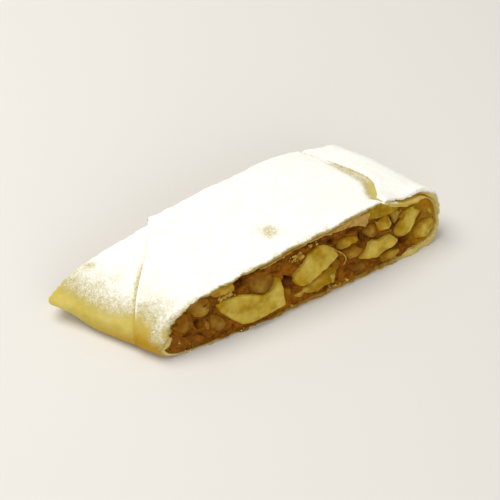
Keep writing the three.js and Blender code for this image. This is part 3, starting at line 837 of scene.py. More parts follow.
def main_strip_at(u, v, d, back):
    first = edge_along(v, main_edge_arc, 30)
    last = edge_along(v, lambda y: arc_at_top(right_edge_x(y)), 130) + TUCKED_UNDER
    arc = mix(first, last, u)
    skin_x, skin_y, skin_z = on_skin(arc, v)
    # The crease stayed bare, except close to the cuts, and more powder caught beside the left edge.
    bare = smooth(-2.4, 1.8, skin_x - crease_start(skin_y)) * smooth(5.5, 8.5, skin_y)
    bare = bare * mix(1.0, 0.66, smooth(17, 26, skin_y))
    cover = dusting(skin_x, skin_y, skin_z) * (1 - 0.96 * bare * (1 - smooth(36, 40, skin_y)))
    cover = cover + 0.35 * hump(1.0, 0.9, arc - first) * smooth(13, 17, skin_z)
    # The knife knocked some powder off along the front cut.
    knocked = hump(0, 0.025, v) * smooth(-0.3, 0.5, lumps(stacked(skin_x, skin_y, skin_z), 3.4, 8.8))
    cover = np.clip(cover - 0.4 * knocked, 0, 1)
    outer = main_top(arc - first, skin_x, skin_y, skin_z) - sugar_height(skin_x, skin_y, skin_z, cover)
    inner = crease_depth(skin_x, skin_y) + STRIP + 0.5
    x, z = on_section(arc, mix(outer, inner, d))
    y = between_cuts(x, z, v, back + 0.05) + ragged(x, skin_y, z, v) + slid(skin_x, v)
    golden = 1 - smooth(7, 18, skin_z)
    # At the left end the knife dragged powder over the cut edge, which is less soaked there.
    dragged = smooth(16, 6, skin_x) * smooth(5, 11, skin_z)
    edge_cover = mix(cover, np.clip(cover, 0.3, 0.42), dragged * smooth(0.1, 0.3, d))
    values = cut_face(d, edge_cover, mix(0.5, 0.95, dragged))
    return x, y, z, values | {"soak": 0.5 - 0.25 * dragged, "baked": np.maximum(golden, 0.15 * bare)}


make_layer("main_strip", main_strip_at, np.linspace(0, 1, 330) ** 1.12, steps=100, closed=False)


# %% [markdown]
# ### The right strip
# This one was laid on last and goes down round the right end, where it has puffed up. At the front cut it is
# no longer stuck down, and a line of its buttered underside shows. Relief on the sheet can't show what is
# under a strip, which is why each strip is a closed layer of its own.

# %% The right strip
def right_strip_at(u, v, d, back):
    first = edge_along(v, lambda y: arc_at_top(right_edge_x(y)), 130)
    arc = mix(first, RIGHT_STRIP_END, u)
    skin_x, skin_y, skin_z = on_skin(arc, v)
    # Where the strip is loose, its cut edge has drawn back a little.
    loose = loose_end(skin_x, skin_z, v)
    cover = dusting(skin_x, skin_y, skin_z)
    outer = right_top(arc - first, skin_x, skin_y, skin_z) - sugar_height(skin_x, skin_y, skin_z, cover)
    inner = STRIP + 0.4 - 0.1 * puffed(skin_x, skin_y, skin_z)
    x, z = on_section(arc, mix(outer, inner, d))
    # Its buttered underside shows as an olive line between it and the sheet.
    underside = smooth(0.5, 0.7, d) * loose
    y = between_cuts(x, z, v, back + 0.1 + 1.2 * loose + 0.6 * underside)
    y = y + ragged(x, skin_y, z, v) + slid(skin_x, v)
    values = cut_face(d, cover, mix(0.5, 0.75, loose))
    values["cut"] = values["cut"] * (1 - underside)
    values["soak"] = 0.1 + 0.4 * smooth(0.6, 1, d) * smooth(126, 132, skin_x)
    values["baked"] = np.maximum(underside, 0.5 * (1 - smooth(2, 14, skin_z)))
    return x, y, z, values


make_layer("right_strip", right_strip_at, np.linspace(0, 1, 170) ** 1.3, steps=100, closed=False)


# %% [markdown]
# ### The fold under the crown
# Under the crown the sheet is folded double. Juice has swollen that inner fold, so at the cut it shows as a
# light brown layer that grows towards the right and ends in a drooping lip. It is a layer like the others,
# whose thickness follows its x.

# %% The fold under the crown
FOLD = np.array([  # x, thickness there
    (46, 0.2), (60, 0.6), (72, 0.8), (80, 1.2), (86, 2.6), (91, 3.8), (95, 5.4), (98, 6.6), (99.6, 5.0),
    (101.4, 0.4),
])


def fold_thickness(x):
    """Thickness of the fold at x, and 0 beyond its ends."""
    return np.interp(x, *FOLD.T, left=0, right=0)


def fold_at(u, v, d, back):
    x_top = mix(FOLD[0, 0] + 0.2, FOLD[-1, 0] - 0.2, u)
    arc = arc_at_top(x_top) + 0 * v
    skin_x, skin_y, skin_z = on_skin(arc, v)
    thick = fold_thickness(x_top) * (1 + 0.2 * lumps(stacked(skin_x, skin_y, skin_z), 5, 2.2))
    x, z = on_section(arc, STRIP + WALL - 0.2 + thick * d)
    return x, between_cuts(x, z, v, back + 0.3) + ragged(x, skin_y, z, v), z, {}


make_layer("folded_layer", fold_at, np.linspace(0, 1, 130), steps=30, closed=False, material=SOAKED_DOUGH)


# %% [markdown]
# ## The filling
# The filling is packed apple. Its brown mash is modelled first, as a body that fills the dough and ends at
# the cuts in a crumbly, hollowed face. It could be a block with noise on it, but then its rim would gape or
# poke through the dough, so its outline is worked out from the dough's inner side. The pieces that show are
# set into it. Because the knife went through them, their faces lie close to the cut, each tilted its own way.

# %% The room inside the dough
def room_outline():
    """The dough's inner side, all the way round the section."""
    arcs = np.linspace(0, AROUND, 1500, endpoint=False)
    skin_x, skin_z = on_section(arcs)
    fold = fold_thickness(skin_x) * smooth(18, 26, skin_z)
    return stacked(*on_section(arcs, wall_depth(skin_x, skin_z) + fold - 0.1))


ROOM = room_outline()
LEFTMOST, RIGHTMOST = int(np.argmin(ROOM[:, 0])), int(np.argmax(ROOM[:, 0]))
CEILING = ROOM[LEFTMOST:RIGHTMOST + 1]
BASE = np.concatenate([ROOM[RIGHTMOST:], ROOM[:LEFTMOST + 1]])
BASE = BASE[np.argsort(BASE[:, 0])]
print(f"room: x {ROOM[LEFTMOST, 0]:.1f} to {ROOM[RIGHTMOST, 0]:.1f} mm")


def ceiling(x):
    """z of the room's upper side."""
    return np.interp(x, CEILING[:, 0], CEILING[:, 1])


def base(x):
    """z of its lower side."""
    return np.interp(x, BASE[:, 0], BASE[:, 1])


# %% The mash and its hollows
HOLLOWS = [  # x, z, half width, half height, depth
    (9.2, 9.4, 1.9, 1.0, 4), (14.4, 13.2, 1.5, 2.8, 6), (36.4, 23.4, 2.9, 2.9, 6), (56.3, 14.6, 1.7, 2.6, 4),
    (54, 26.4, 2.4, 1.4, 2.5), (70, 26.8, 3.6, 0.9, 2.5), (81.3, 23.8, 2.5, 1.6, 6), (82, 14.6, 1.1, 2.1, 4),
    (95.2, 19.2, 1.3, 3.4, 6), (91.4, 24.2, 2.8, 0.9, 5), (112.6, 20, 1.1, 2.4, 3), (116.2, 8.8, 3.0, 1.6, 4),
    (123, 14.2, 1.7, 1.0, 3), (28.6, 4.6, 1.4, 2.2, 2),
]
MASH_RELIEF = (0.7, 4.6, 2.7), (0.4, 2.1, 4.1), (0.16, 0.9, 9.3)  # height, size and shift of its lumps


def seen_from(side, x):
    """Mirrors x for the back cut, side 1, which shows the same things in the other order."""
    return x if side == 0 else 2 * MIDDLE_X - x


def hollowed(x, z, side):
    """How far the hollows go into the mash."""
    deepest = 0 * x
    for hollow_x, hollow_z, wide, high, deep in HOLLOWS:
        center = seen_from(side, hollow_x)
        reach = np.hypot((x - center) / wide, (z - hollow_z) / high)
        reach = reach + 0.3 * lumps(stacked(x, 40.0 * side, z), 1.6, 6.6)
        deepest = np.maximum(deepest, deep * (1 - smooth(0.45, 1.15, reach)))
    return deepest


def mash_face(x, z, side):
    """y of the mash at a cut: about a millimetre behind it, but in line with it at the bottom."""
    points = stacked(x, 40.0 * side, z)
    grains = sum(height * lumps(points, size, shift) for height, size, shift in MASH_RELIEF)
    into = mix(0.7, 1.05, smooth(22, 30, x)) - 0.9 * (1 - smooth(2.5, 7, z)) + grains + hollowed(x, z, side)
    return behind_cut(x, z, into, side)


def make_mash(columns, levels, stations):
    """Two faces of columns by levels points, joined by rings at stations - 1 places between them."""
    x = np.linspace(ROOM[LEFTMOST, 0] + 0.2, ROOM[RIGHTMOST, 0] - 0.2, columns)[:, None]
    z = mix(base(x), ceiling(x), np.linspace(0, 1, levels)[None, :])
    x = x + 0 * z
    cut_y = [mash_face(x, z, 0), mash_face(x, z, 1)]
    # The rim of the front face, point by point, is carried back through the roll to the rim of the other.
    grid = np.arange(columns * levels).reshape(columns, levels)
    rim = np.concatenate([grid[:, 0], grid[-1, 1:], grid[-2::-1, -1], grid[0, -2:0:-1]])
    rim_x, rim_z = x.reshape(-1)[rim], z.reshape(-1)[rim]
    rim_y = [y.reshape(-1)[rim] for y in cut_y]
    rings = [place(rim_x, mix(*rim_y, k / stations), rim_z) for k in range(1, stations)]
    points = np.concatenate([place(x, y, z).reshape(-1, 3) for y in cut_y] + rings)
    quads = stacked(grid[:-1, :-1], grid[1:, :-1], grid[1:, 1:], grid[:-1, 1:]).reshape(-1, 4)
    faces = quads.tolist() + (quads[:, ::-1] + grid.size).tolist()
    between = [2 * grid.size + k * len(rim) + np.arange(len(rim)) for k in range(stations - 1)]
    loops = [rim, *between, rim + grid.size]
    for a, b in zip(loops, loops[1:]):
        faces += stacked(a, b, np.roll(b, -1), np.roll(a, -1)).tolist()
    # Painted shade, darkest in the hollows of both faces and none on the rings between them.
    hollow_shade = [0.9 * smooth(0.3, 3, hollowed(x, z, side)).reshape(-1) for side in (0, 1)]
    hollow_shade = np.concatenate([*hollow_shade, np.zeros(len(points) - 2 * grid.size)])
    # Towards the right end there is more butter than cinnamon in it, on both faces and between them.
    face_x, face_z = (np.concatenate([at.reshape(-1), at.reshape(-1), *[rim_at] * (stations - 1)])
                      for at, rim_at in ((x, rim_x), (z, rim_z)))
    golden = 0.75 * smooth(114, 123, face_x) * (1 - 0.5 * hump(116, 4, face_x) * smooth(12, 8, face_z))
    values = {"hollow_shade": hollow_shade, "golden": golden}
    mash = make_piece("apple_mash", points, outward(points, faces), CINNAMON_MASH, "filling", **values)
    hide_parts("filling")


make_mash(columns=400, levels=80, stations=6)


# %% [markdown]
# ### Apple pieces
# Apple pieces are cut, so they have flat faces and firm edges, which a lump of noise never has. Each is drawn
# as an outline on the cut and pushed into the filling, its edges are bevelled, and a voxel remesh turns it
# into an even skin whose points can be dented. Up to three slanting facets take corners off its face. Each
# piece has its own browning and its own glassiness, from just cooked to falling apart.

# %% A block with an even skin
def soft_block(outline, depth, bevel, voxel):
    """Points, outward directions and faces. The block's y runs from 0, its face at the cut, to depth."""
    bm = bmesh.new()
    face = bm.faces.new([bm.verts.new((x * MM, 0, z * MM)) for x, z in outline])
    pushed = bmesh.ops.extrude_face_region(bm, geom=[face])["geom"]
    back = [v for v in pushed if isinstance(v, bmesh.types.BMVert)]
    bmesh.ops.translate(bm, verts=back, vec=(0, depth * MM, 0))
    bmesh.ops.recalc_face_normals(bm, faces=bm.faces[:])
    bmesh.ops.bevel(bm, geom=bm.edges[:], offset=bevel * MM, segments=3, affect="EDGES", profile=0.5)
    mesh = bpy.data.meshes.new("block")
    bm.to_mesh(mesh)
    bm.free()
    block = bpy.data.objects.new("block", mesh)
    bpy.context.scene.collection.objects.link(block)
    skin = block.modifiers.new("skin", "REMESH")
    skin.mode = "VOXEL"
    skin.voxel_size = voxel * MM
    evaluated = block.evaluated_get(bpy.context.evaluated_depsgraph_get())
    made = evaluated.to_mesh()
    points, normals = np.empty(len(made.vertices) * 3), np.empty(len(made.vertices) * 3)
    made.vertices.foreach_get("co", points)
    made.vertices.foreach_get("normal", normals)
    faces = [list(p.vertices) for p in made.polygons]
    evaluated.to_mesh_clear()
    bpy.data.objects.remove(block)
    bpy.data.meshes.remove(mesh)
    return points.reshape(-1, 3) / MM, normals.reshape(-1, 3), faces


TRIAL = [(0, 0), (10, 0), (10, 6), (0, 6)]
print("a 10 by 6 mm block has", len(soft_block(TRIAL, depth=6, bevel=0.6, voxel=0.8)[0]), "points")


# %% One apple piece
FACETS, DEEPEST_FACET = 3, 0.8  # how many, and how far back they go at most
FACET_SLOPE, FACET_START = (0.12, 0.35), (0.35, 0.75)  # drawn between these; it starts off the middle
DENTS = (0.34, 4.5, 0), (0.24, 1.9, 3), (0.08, 0.8, 0)  # height, size, and shift on top of the seed
PIECE_DEPTH, PIECE_BEVEL, PIECE_VOXEL = 6.0, 0.6, 0.55


def facets(x, z, outline, seed):
    """How far slanting facets take a piece's face back from the cut, towards its rim."""
    draw = np.random.default_rng(seed)
    middle, size = outline.mean(axis=0), np.ptp(outline, axis=0).max() / 2
    taken = 0 * x
    for angle in draw.uniform(0, 2 * math.pi, FACETS):
        along = (x - middle[0]) * math.cos(angle) + (z - middle[1]) * math.sin(angle)
        slope, start = draw.uniform(*FACET_SLOPE), draw.uniform(*FACET_START)
        taken = taken + slope * np.maximum(0, along - start * size)
    return np.minimum(taken, DEEPEST_FACET)


def apple_piece(outline, inset, lean, turn, brown, golden, side, seed):
    """A piece whose face lies inset behind the cut, leaning back by height and turned back to the right."""
    outline = np.array(outline, float)
    points, normals, faces = soft_block(outline, PIECE_DEPTH, PIECE_BEVEL, PIECE_VOXEL)
    dents = sum(height * lumps(points, size, seed + shift) for height, size, shift in DENTS)
    points = points + normals * dents[:, None]
    x, y, z = points.T
    middle = outline.mean(axis=0)
    into = inset - 0.4 + y + lean * (z - middle[1]) + turn * (x - middle[0]) + facets(x, z, outline, seed)
    placed = place(x, behind_cut(x, z, into, side), z)
    clouds = lumps(points, 6, seed + 8)
    flecks = lumps(points, 1.8, seed + 5)
    towards_rim = np.hypot(*((points[:, (0, 2)] - middle) / (np.ptp(outline, axis=0) / 2)).T)
    values = {
        "brown": np.clip(brown + 0.25 * clouds + 0.14 * flecks + 0.2 * (towards_rim - 0.8), 0, 1),
        "golden": np.clip(golden + 0.6 * lumps(points, 6, seed + 2) + 0.3 * flecks
                          + 0.5 * (towards_rim - 0.65), 0, 1),
        "edge": 1 - smooth(0.7, 0.97, np.abs(normals[:, 1])),
    }
    return placed, outward(placed, faces), values


print("each piece goes", PIECE_DEPTH, "mm into the filling, and its voxels are", PIECE_VOXEL, "mm")


# %% Apple pieces at the front cut
FRONT_PIECES = {  # outline on the section, inset, lean, turn, brown, golden
    "long bent slice": (
        [(23.2, 19.4), (28.5, 19.6), (34.5, 18.6), (40.5, 16), (44.6, 14.2), (48.2, 15), (50.4, 17.2),
         (51.4, 22.2), (54.4, 22.4), (54.8, 18), (53, 12.6), (52.4, 5), (46, 4.4), (38.4, 4), (32.4, 3.6),
         (29.2, 7.6), (24.4, 15.2)],
        -0.2, 0.05, 0.02, 0.0, 0.35),
    "brown soaked piece": (
        [(39.6, 24.4), (44, 26), (50, 25.2), (51, 21.6), (49.8, 17), (45, 14.6), (41, 16.8), (39.4, 20.4)],
        0.5, 0.04, 0.02, 0.8, 0.7),
    "slab under the top": (
        [(22.8, 24), (28, 25.2), (32.8, 25.6), (33, 21.6), (30.8, 22.2), (25.2, 22.8)],
        0.3, 0.1, 0.0, 0.2, 0.8),
    "dome at the left": (
        [(12.4, 21), (16, 22.8), (21, 23.4), (23, 21), (20, 17.2), (16.4, 15.8), (13.4, 17.4)],
        0.8, 0.1, 0.05, 0.85, 0.7),
    "reddish piece": (
        [(20.4, 15.4), (23.2, 15), (25.6, 10.6), (27.4, 7), (25.4, 2.8), (20.4, 2.8), (18.8, 8)],
        0.8, 0.08, 0.05, 1.0, 0.5),
    "grey glassy bit": (
        [(15.8, 14.6), (17.6, 14.8), (19.2, 12), (18.2, 7.4), (16.8, 8.6)], 0.9, 0.0, -0.1, 0.6, 0.9),
    "lowest left piece": (
        [(0.8, 11.4), (3, 12.4), (5.8, 10.4), (7.3, 8.2), (9, 5.6), (6.4, 3.4), (2.8, 4.6), (1, 8)],
        0.7, 0.1, 0.0, 0.95, 0.5),
    "piece beside it": (
        [(9, 7.6), (13, 8.2), (16.4, 5.4), (15.6, 3), (10, 3), (9, 5)], 0.6, 0.05, 0.0, 0.92, 0.4),
    "upper left piece": (
        [(4.6, 13.6), (7.6, 14.2), (8.4, 17.6), (12, 19.4), (12.6, 15), (11.4, 11.6), (7.4, 11)],
        0.8, 0.1, 0.1, 0.95, 0.6),
    "big yellow piece": (
        [(58.6, 15), (59, 12.4), (60.6, 10.4), (66, 10.2), (71.4, 12.4), (76.2, 14.4), (81.6, 17),
         (82.4, 19.4), (78.8, 23.6), (75.2, 25.2), (71.4, 24.2), (68, 23.2), (65.6, 20.6), (60, 17)],
        -0.1, 0.06, 0.02, 0.02, 0.5),
    "wedge at the bottom": (
        [(57.5, 6.4), (62.4, 8.4), (67.5, 9.6), (72.2, 11.6), (76.5, 13.6), (81.8, 15.4), (82.6, 12),
         (79.2, 9), (74.5, 4.8), (66, 4.4), (60, 4.2)],
        0.5, 0.06, 0.0, 0.3, 0.8),
    "pale chip": ([(74.6, 5.4), (76.2, 5.2), (78.4, 9), (77.6, 10), (75, 9.6)], 0.1, 0.1, 0.1, 0.0, 0.1),
    "orange chip": ([(53.4, 9), (56.4, 8.6), (57, 11.4), (53.8, 12.2)], 0.7, 0.0, 0.0, 0.8, 1.0),
    "dull yellow piece": (
        [(83.4, 20.8), (85.4, 22.8), (90, 22.6), (93.4, 20.6), (92.6, 18.8), (86.2, 18.2), (83.2, 18.8)],
        0.7, 0.08, 0.0, 0.25, 0.8),
    "olive piece below it": (
        [(84.8, 17), (93.2, 17.4), (94.4, 14.4), (91, 11.2), (86.2, 11.8)], 0.9, 0.0, 0.05, 0.7, 0.9),
    "pale wedge": (
        [(90.8, 10.2), (94.6, 12), (97.4, 15), (99.4, 16), (103, 14.6), (108.6, 15.6), (111, 13.2),
         (112.2, 10.4), (106.4, 8.8), (98, 8), (94, 8.8)],
        0.0, 0.08, 0.0, 0.0, 0.05),
    "brown piece": (
        [(96.8, 20.6), (98, 22.6), (102.8, 24), (102.8, 19.8), (101.6, 16.8), (98.8, 17)],
        0.7, 0.06, 0.0, 0.75, 0.6),
    "low golden piece": (
        [(101, 7.4), (107, 7.8), (112, 6.4), (113, 4.2), (108, 3.2), (101, 3.6)], 0.1, 0.05, 0.0, 0.5, 0.8),
    "low middle piece": (
        [(83.6, 8.6), (88.6, 9.2), (96, 7), (95.4, 4.2), (90, 3.6), (84, 4.6)], 0.9, 0.05, 0.03, 1.0, 0.5),
    "small yellow piece": (
        [(102.6, 24.6), (110.4, 25.2), (111, 20), (108, 18), (103.4, 19)], 0.4, 0.1, 0.03, 0.1, 0.7),
    "low brown piece": (
        [(103, 17.8), (108, 17.4), (110.6, 16.8), (110.4, 15.6), (104, 15.6)], 0.9, 0.05, 0.0, 0.8, 0.7),
    "beige piece": (
        [(111.4, 25), (117.4, 25.6), (117.8, 23), (114.6, 21.4), (111.8, 18)], 0.6, 0.1, 0.0, 0.5, 0.4),
    "pale elongated piece": (
        [(111, 13.4), (113.6, 11.8), (116.6, 11.8), (120.4, 14), (125, 17.4), (125.4, 19.4), (123, 22.4),
         (118.6, 22.6), (116.6, 20.2), (113, 17), (110.8, 15.6)],
        0.1, 0.1, 0.0, 0.0, 0.5),
    "upper golden piece": (
        [(114.4, 20.6), (116.6, 23.6), (120.6, 24.2), (125, 23), (122.8, 21.4), (118, 21), (116, 19.4)],
        0.2, 0.08, 0.0, 0.25, 1.0),
    "golden piece at the rim": (
        [(127.2, 21.6), (130.8, 20.6), (132.4, 16.4), (132.6, 13.2), (130.4, 13.8), (129.4, 17.8)],
        0.6, 0.0, 0.0, 0.4, 1.0),
    "stained bit": (
        [(121.6, 14.2), (127, 15), (131.4, 17), (130.6, 20), (128, 21), (126, 17.2)],
        0.6, 0.1, 0.0, 0.7, 1.0),
    "chunk at the right": (
        [(119.4, 9.6), (121.6, 12.2), (125.6, 13.4), (130.8, 13.2), (133.2, 10.4), (131.4, 7.4), (126.4, 5.4),
         (121, 5.6)],
        0.3, 0.08, -0.05, 0.2, 0.6),
}
print(len(FRONT_PIECES), "pieces with", sum(len(piece[0]) for piece in FRONT_PIECES.values()), "corners")


# %% Apple pieces at the back cut
def back_pieces(count=19):
    """Pieces of the same kinds for the other cut: irregular outlines in two staggered rows."""
    draw = np.random.default_rng(23)
    made = []
    for k in range(count):
        x = mix(8, 129, (k + 0.5) / count) + draw.uniform(-2, 2)
        room = ceiling(x) - base(x)
        z = base(x) + room * (draw.uniform(0.6, 0.74) if k % 2 else draw.uniform(0.24, 0.38))
        long, high, tilt = draw.uniform(9, 21), room * draw.uniform(0.34, 0.52), draw.uniform(-0.6, 0.6)
        corners = int(draw.integers(6, 10))
        angles = (np.arange(corners) + draw.uniform(-0.28, 0.28, corners)) / corners * 2 * math.pi
        reach = draw.uniform(0.75, 1.15, corners)
        flat_x, flat_z = np.cos(angles) * long / 2 * reach, np.sin(angles) * high / 2 * reach
        outline_x = x + flat_x * math.cos(tilt) - flat_z * math.sin(tilt)
        outline_z = z + flat_x * math.sin(tilt) + flat_z * math.cos(tilt)
        outline_x = np.clip(outline_x, 3, 131.5)
        outline_z = np.clip(outline_z, base(outline_x) + 0.4, ceiling(outline_x) - 0.4)
        inset, lean, turn = draw.uniform(0, 0.8), draw.uniform(0, 0.1), draw.uniform(-0.1, 0.1)
        brown, golden = draw.choice([0.0, 0.05, 0.1, 0.5, 0.85]), draw.uniform(0.0, 0.8)
        made.append((stacked(outline_x, outline_z), inset, lean, turn, brown, golden))
    return made


BACK_PIECES = back_pieces()
print(len(BACK_PIECES), "pieces with", sum(len(piece[0]) for piece in BACK_PIECES), "corners")


# %% All apple pieces as one
def join(parts):
    """Joins (points, faces, values) parts into one."""
    starts = np.cumsum([0] + [len(points) for points, _, _ in parts])
    faces = [[v + start for v in f] for (_, part_faces, _), start in zip(parts, starts) for f in part_faces]
    values = {key: np.concatenate([part[2][key] for part in parts]) for key in parts[0][2]}
    return np.concatenate([points for points, _, _ in parts]), faces, values


apples = [apple_piece(*piece, 0, 11 + k) for k, piece in enumerate(FRONT_PIECES.values())]
apples += [apple_piece(*piece, 1, 71 + k) for k, piece in enumerate(BACK_PIECES)]
apple_points, apple_faces, apple_values = join(apples)
make_piece("apple_pieces", apple_points, apple_faces, COOKED_APPLE, "apple", **apple_values)
print(f"{len(apples)} apple pieces, of which {len(FRONT_PIECES)} are at the front cut")


# %% [markdown]
# ### The tucked flap
# At the crown the main strip's end is tucked down under the right strip. At the cut it shows as a smooth
# yellow flap, seen from its side, that fills the corner between the two strips. It is a soft block like an
# apple piece, with a face that sags instead of facets.

# %% The tucked flap
FLAP = [
    (97.6, 28.8), (99, 30.2), (104, 30.4), (108.6, 30), (113.2, 28.2), (116, 25.8), (110, 25), (104, 25.2),
    (100, 26.4),
]
FLAP_DEPTH, FLAP_BEVEL, FLAP_VOXEL = 12.0, 0.7, 0.5


def make_flap():
    """Its face sags forward at the bottom, and behind the cut its upper side dips under the right strip."""
    points, normals, faces = soft_block(FLAP, FLAP_DEPTH, FLAP_BEVEL, FLAP_VOXEL)
    x, y, z = (points + normals * 0.15 * lumps(points, 3.0, 5.5)[:, None]).T
    sagging = np.minimum(0.03 * (31 - z) ** 2 - 0.3, 0.8)
    tucked = 3.0 * smooth(1.4, 4.0, y) * smooth(25, 30, z)
    placed = place(x, front_cut(x, z) + 0.4 + y - sagging, z - tucked)
    flap = make_piece("tucked_flap", placed, outward(placed, faces), BUTTERY_DOUGH, "pastry")
    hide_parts("pastry")


make_flap()


# %% [markdown]
# ## Small things
# Raisins, crumbs, grains of mash and loose sugar are all scattered lumps, so one function makes them: a round
# ball of triangles is stretched, turned, dented and set down once for each site. All lumps of a kind are one
# mesh. Linked copies would save memory, but each would have the same dents.

# %% Scattering lumps
def unit_ball(detail):
    """A ball of radius 1 as points and triangles."""
    bm = bmesh.new()
    bmesh.ops.create_icosphere(bm, subdivisions=detail, radius=1)
    points = np.array([v.co[:] for v in bm.verts])
    faces = np.array([[v.index for v in f.verts] for f in bm.faces])
    bm.free()
    return points, faces


def scatter(name, material, slot, sites, radii, seed, detail, uneven, longest):
    """A piece with an uneven lump at each site, up to longest times as long as its radius."""
    draw = np.random.default_rng(seed)
    ball, ball_faces = unit_ball(detail)
    count = len(sites)
    w, x, y, z = draw.normal(size=(count, 4)).T
    length = np.sqrt(w * w + x * x + y * y + z * z)
    w, x, y, z = w / length, x / length, y / length, z / length
    turn = np.array([
        [1 - 2 * (y * y + z * z), 2 * (x * y - z * w), 2 * (x * z + y * w)],
        [2 * (x * y + z * w), 1 - 2 * (x * x + z * z), 2 * (y * z - x * w)],
        [2 * (x * z - y * w), 2 * (y * z + x * w), 1 - 2 * (x * x + y * y)],
    ]).transpose(2, 0, 1)
    stretch = draw.uniform(0.7, longest, (count, 1, 3))
    dents = 1 + uneven * lumps(ball[None] + draw.uniform(0, 30, (count, 1, 3)), 0.7)
    shape = ball[None] * dents[..., None] * stretch
    points = np.einsum("nij,nkj->nki", turn, shape) * np.asarray(radii)[:, None, None] + sites[:, None, :]
    faces = ball_faces[None] + np.arange(count)[:, None, None] * len(ball)
    make_piece(name, points.reshape(-1, 3), faces.reshape(-1, 3).tolist(), material, slot)


for level in (1, 2, 4):
    print(f"a ball of detail {level} has {len(unit_ball(level)[1])} triangles")


# %% [markdown]
# ### Raisins
# Cooked raisins are plump again, dark, and half sunk in the hollows of the mash. Six show at the cuts, so
# they are listed one by one, as finely divided balls.

# %% Raisins
RAISINS = [  # x, z, inset, side
    (36.6, 22, 3.4, 0), (56.4, 14.6, 1.2, 0), (115.8, 8.6, 2.6, 0),
    (95.6, 22, 3.2, 1), (75.7, 14.6, 2.0, 1), (16, 8.8, 2.4, 1),
]
RAISIN_RADIUS = 2.2


def at_cut(x, z, inset, side):
    """The point that lies inset behind a cut."""
    return place(x, behind_cut(x, z, inset, side), z)


raisin_sites = np.array([at_cut(*map(np.float64, site[:3]), site[3]) for site in RAISINS])
raisin_radii = np.full(len(RAISINS), RAISIN_RADIUS)
raisin_shape = {"seed": 3, "detail": 4, "uneven": 0.22, "longest": 1.3}
scatter("raisins", RAISIN_SKIN, "raisin", raisin_sites, raisin_radii, **raisin_shape)


# %% [markdown]
# ### Grains of mash
# The mash's own relief is smooth at a millimetre. Loose grains on its face break that up, most of them at the
# front cut, which is the rougher one.

# %% Grains of mash on the faces
def mash_grains(count, seed):
    """Sites and radii of grains that sit on the mash."""
    draw = np.random.default_rng(seed)
    x, side = draw.uniform(3, 131, count), (draw.uniform(size=count) > 0.62).astype(int)
    z = mix(base(x) + 0.5, ceiling(x) - 0.4, draw.uniform(size=count))
    y = np.where(side == 0, mash_face(x, z, 0) + 0.3, mash_face(x, z, 1) - 0.3)
    return place(x, y, z), draw.uniform(0.3, 0.6, count)


grain_shape = {"seed": 18, "detail": 2, "uneven": 0.35, "longest": 1.6}
scatter("mash_grains", CINNAMON_MASH, "filling", *mash_grains(count=140, seed=17), **grain_shape)


# %% [markdown]
# ### Buttered crumbs
# A strudel is lined with breadcrumbs fried in butter, which soak up juice. They cling to the faces in
# patches, and a fibre of apple hangs down with crumbs all over it, so that they are all there is to see of
# it. Each patch is a cloud of sites, thickest in its middle, because crumbs stick to each other.

# %% Buttered crumbs
CRUMB_PATCHES = [  # x, z, half width, half height, how many
    (28.6, 21.4, 3.2, 0.9, 30), (62.4, 24, 2.8, 1.5, 30), (72, 26.8, 4, 0.5, 5), (5.4, 6.6, 1, 1, 3),
    (9.4, 4, 1, 1, 4), (55, 1.8, 3, 0.7, 6), (76, 2.8, 4, 1.0, 8), (83.2, 2.8, 1, 0.8, 4),
    (107.6, 3, 2.4, 0.8, 14), (117, 2.2, 4, 0.5, 6),
]
CRUMB_RADII, FIBRE_CRUMBS, FIBRE_RADIUS = (0.25, 0.62), 34, 0.24


def crumb_sites(seed):
    """Sites in patches on both faces, and last the ones along the fibre."""
    draw = np.random.default_rng(seed)
    sites = []
    for x, z, wide, high, count in CRUMB_PATCHES:
        for side, share in ((0, 1.0), (1, 0.6)):
            many = int(count * share)
            bit_x = np.clip(draw.normal(seen_from(side, x), wide * 0.6, many), 3, 131)
            bit_z = np.clip(draw.normal(z, high * 0.6, many), base(bit_x) + 0.3, ceiling(bit_x) - 0.3)
            sites.append(at_cut(bit_x, bit_z, draw.uniform(-0.2, 1.0, many), side))
    along = np.linspace(0, 1, FIBRE_CRUMBS)
    fibre_x, fibre_z = 80.7 + 3.4 * np.sin(2.4 * along), mix(20.4, 11.6, along)
    sites.append(at_cut(fibre_x, fibre_z, 0.1 - 0.8 * np.sin(math.pi * along), 0))
    return np.concatenate(sites)


crumbs = crumb_sites(seed=31)
crumb_radii = np.random.default_rng(32).uniform(*CRUMB_RADII, len(crumbs))
crumb_radii[-FIBRE_CRUMBS:] = FIBRE_RADIUS
crumb_shape = {"seed": 33, "detail": 2, "uneven": 0.4, "longest": 1.5}
scatter("buttered_crumbs", BUTTERED_CRUMB, "filling", crumbs, crumb_radii, **crumb_shape)


# %% [markdown]
# ### Loose icing sugar
# Loose sugar lies wherever the sieve and the knife left it: thinly over the fading dust at both ends, and on
# the ledge at the bottom. Real grains of icing sugar are far too fine to see, so what is modelled are its
# clumps, 0.2 to 0.5 mm across.

# %% Loose icing sugar
LEFT_FADE, RIGHT_FADE = (12, 42), (140, RIGHT_STRIP_END)  # stretches of the section where the dusting fades


def top_of_dough(arc, v, lift):
    """Points that lie lift above the topmost dough, and the dusting there."""
    x, y, z = on_skin(arc, v)
    from_edge = arc - main_edge_arc(y)
    beyond = x - right_edge_x(y)
    depth = np.where(from_edge > 0, main_top(np.maximum(from_edge, 0), x, y, z), sheet_top(z))
    on_right = (arc > ARCS[TOP.start]) & (beyond > 0) & (arc < RIGHT_STRIP_END)
    depth = np.where(on_right, right_top(np.maximum(beyond, 0), x, y, z), depth)
    lifted_x, lifted_z = on_section(arc, depth - lift)
    return place(lifted_x, between_cuts(lifted_x, lifted_z, v), lifted_z), dusting(x, y, z)


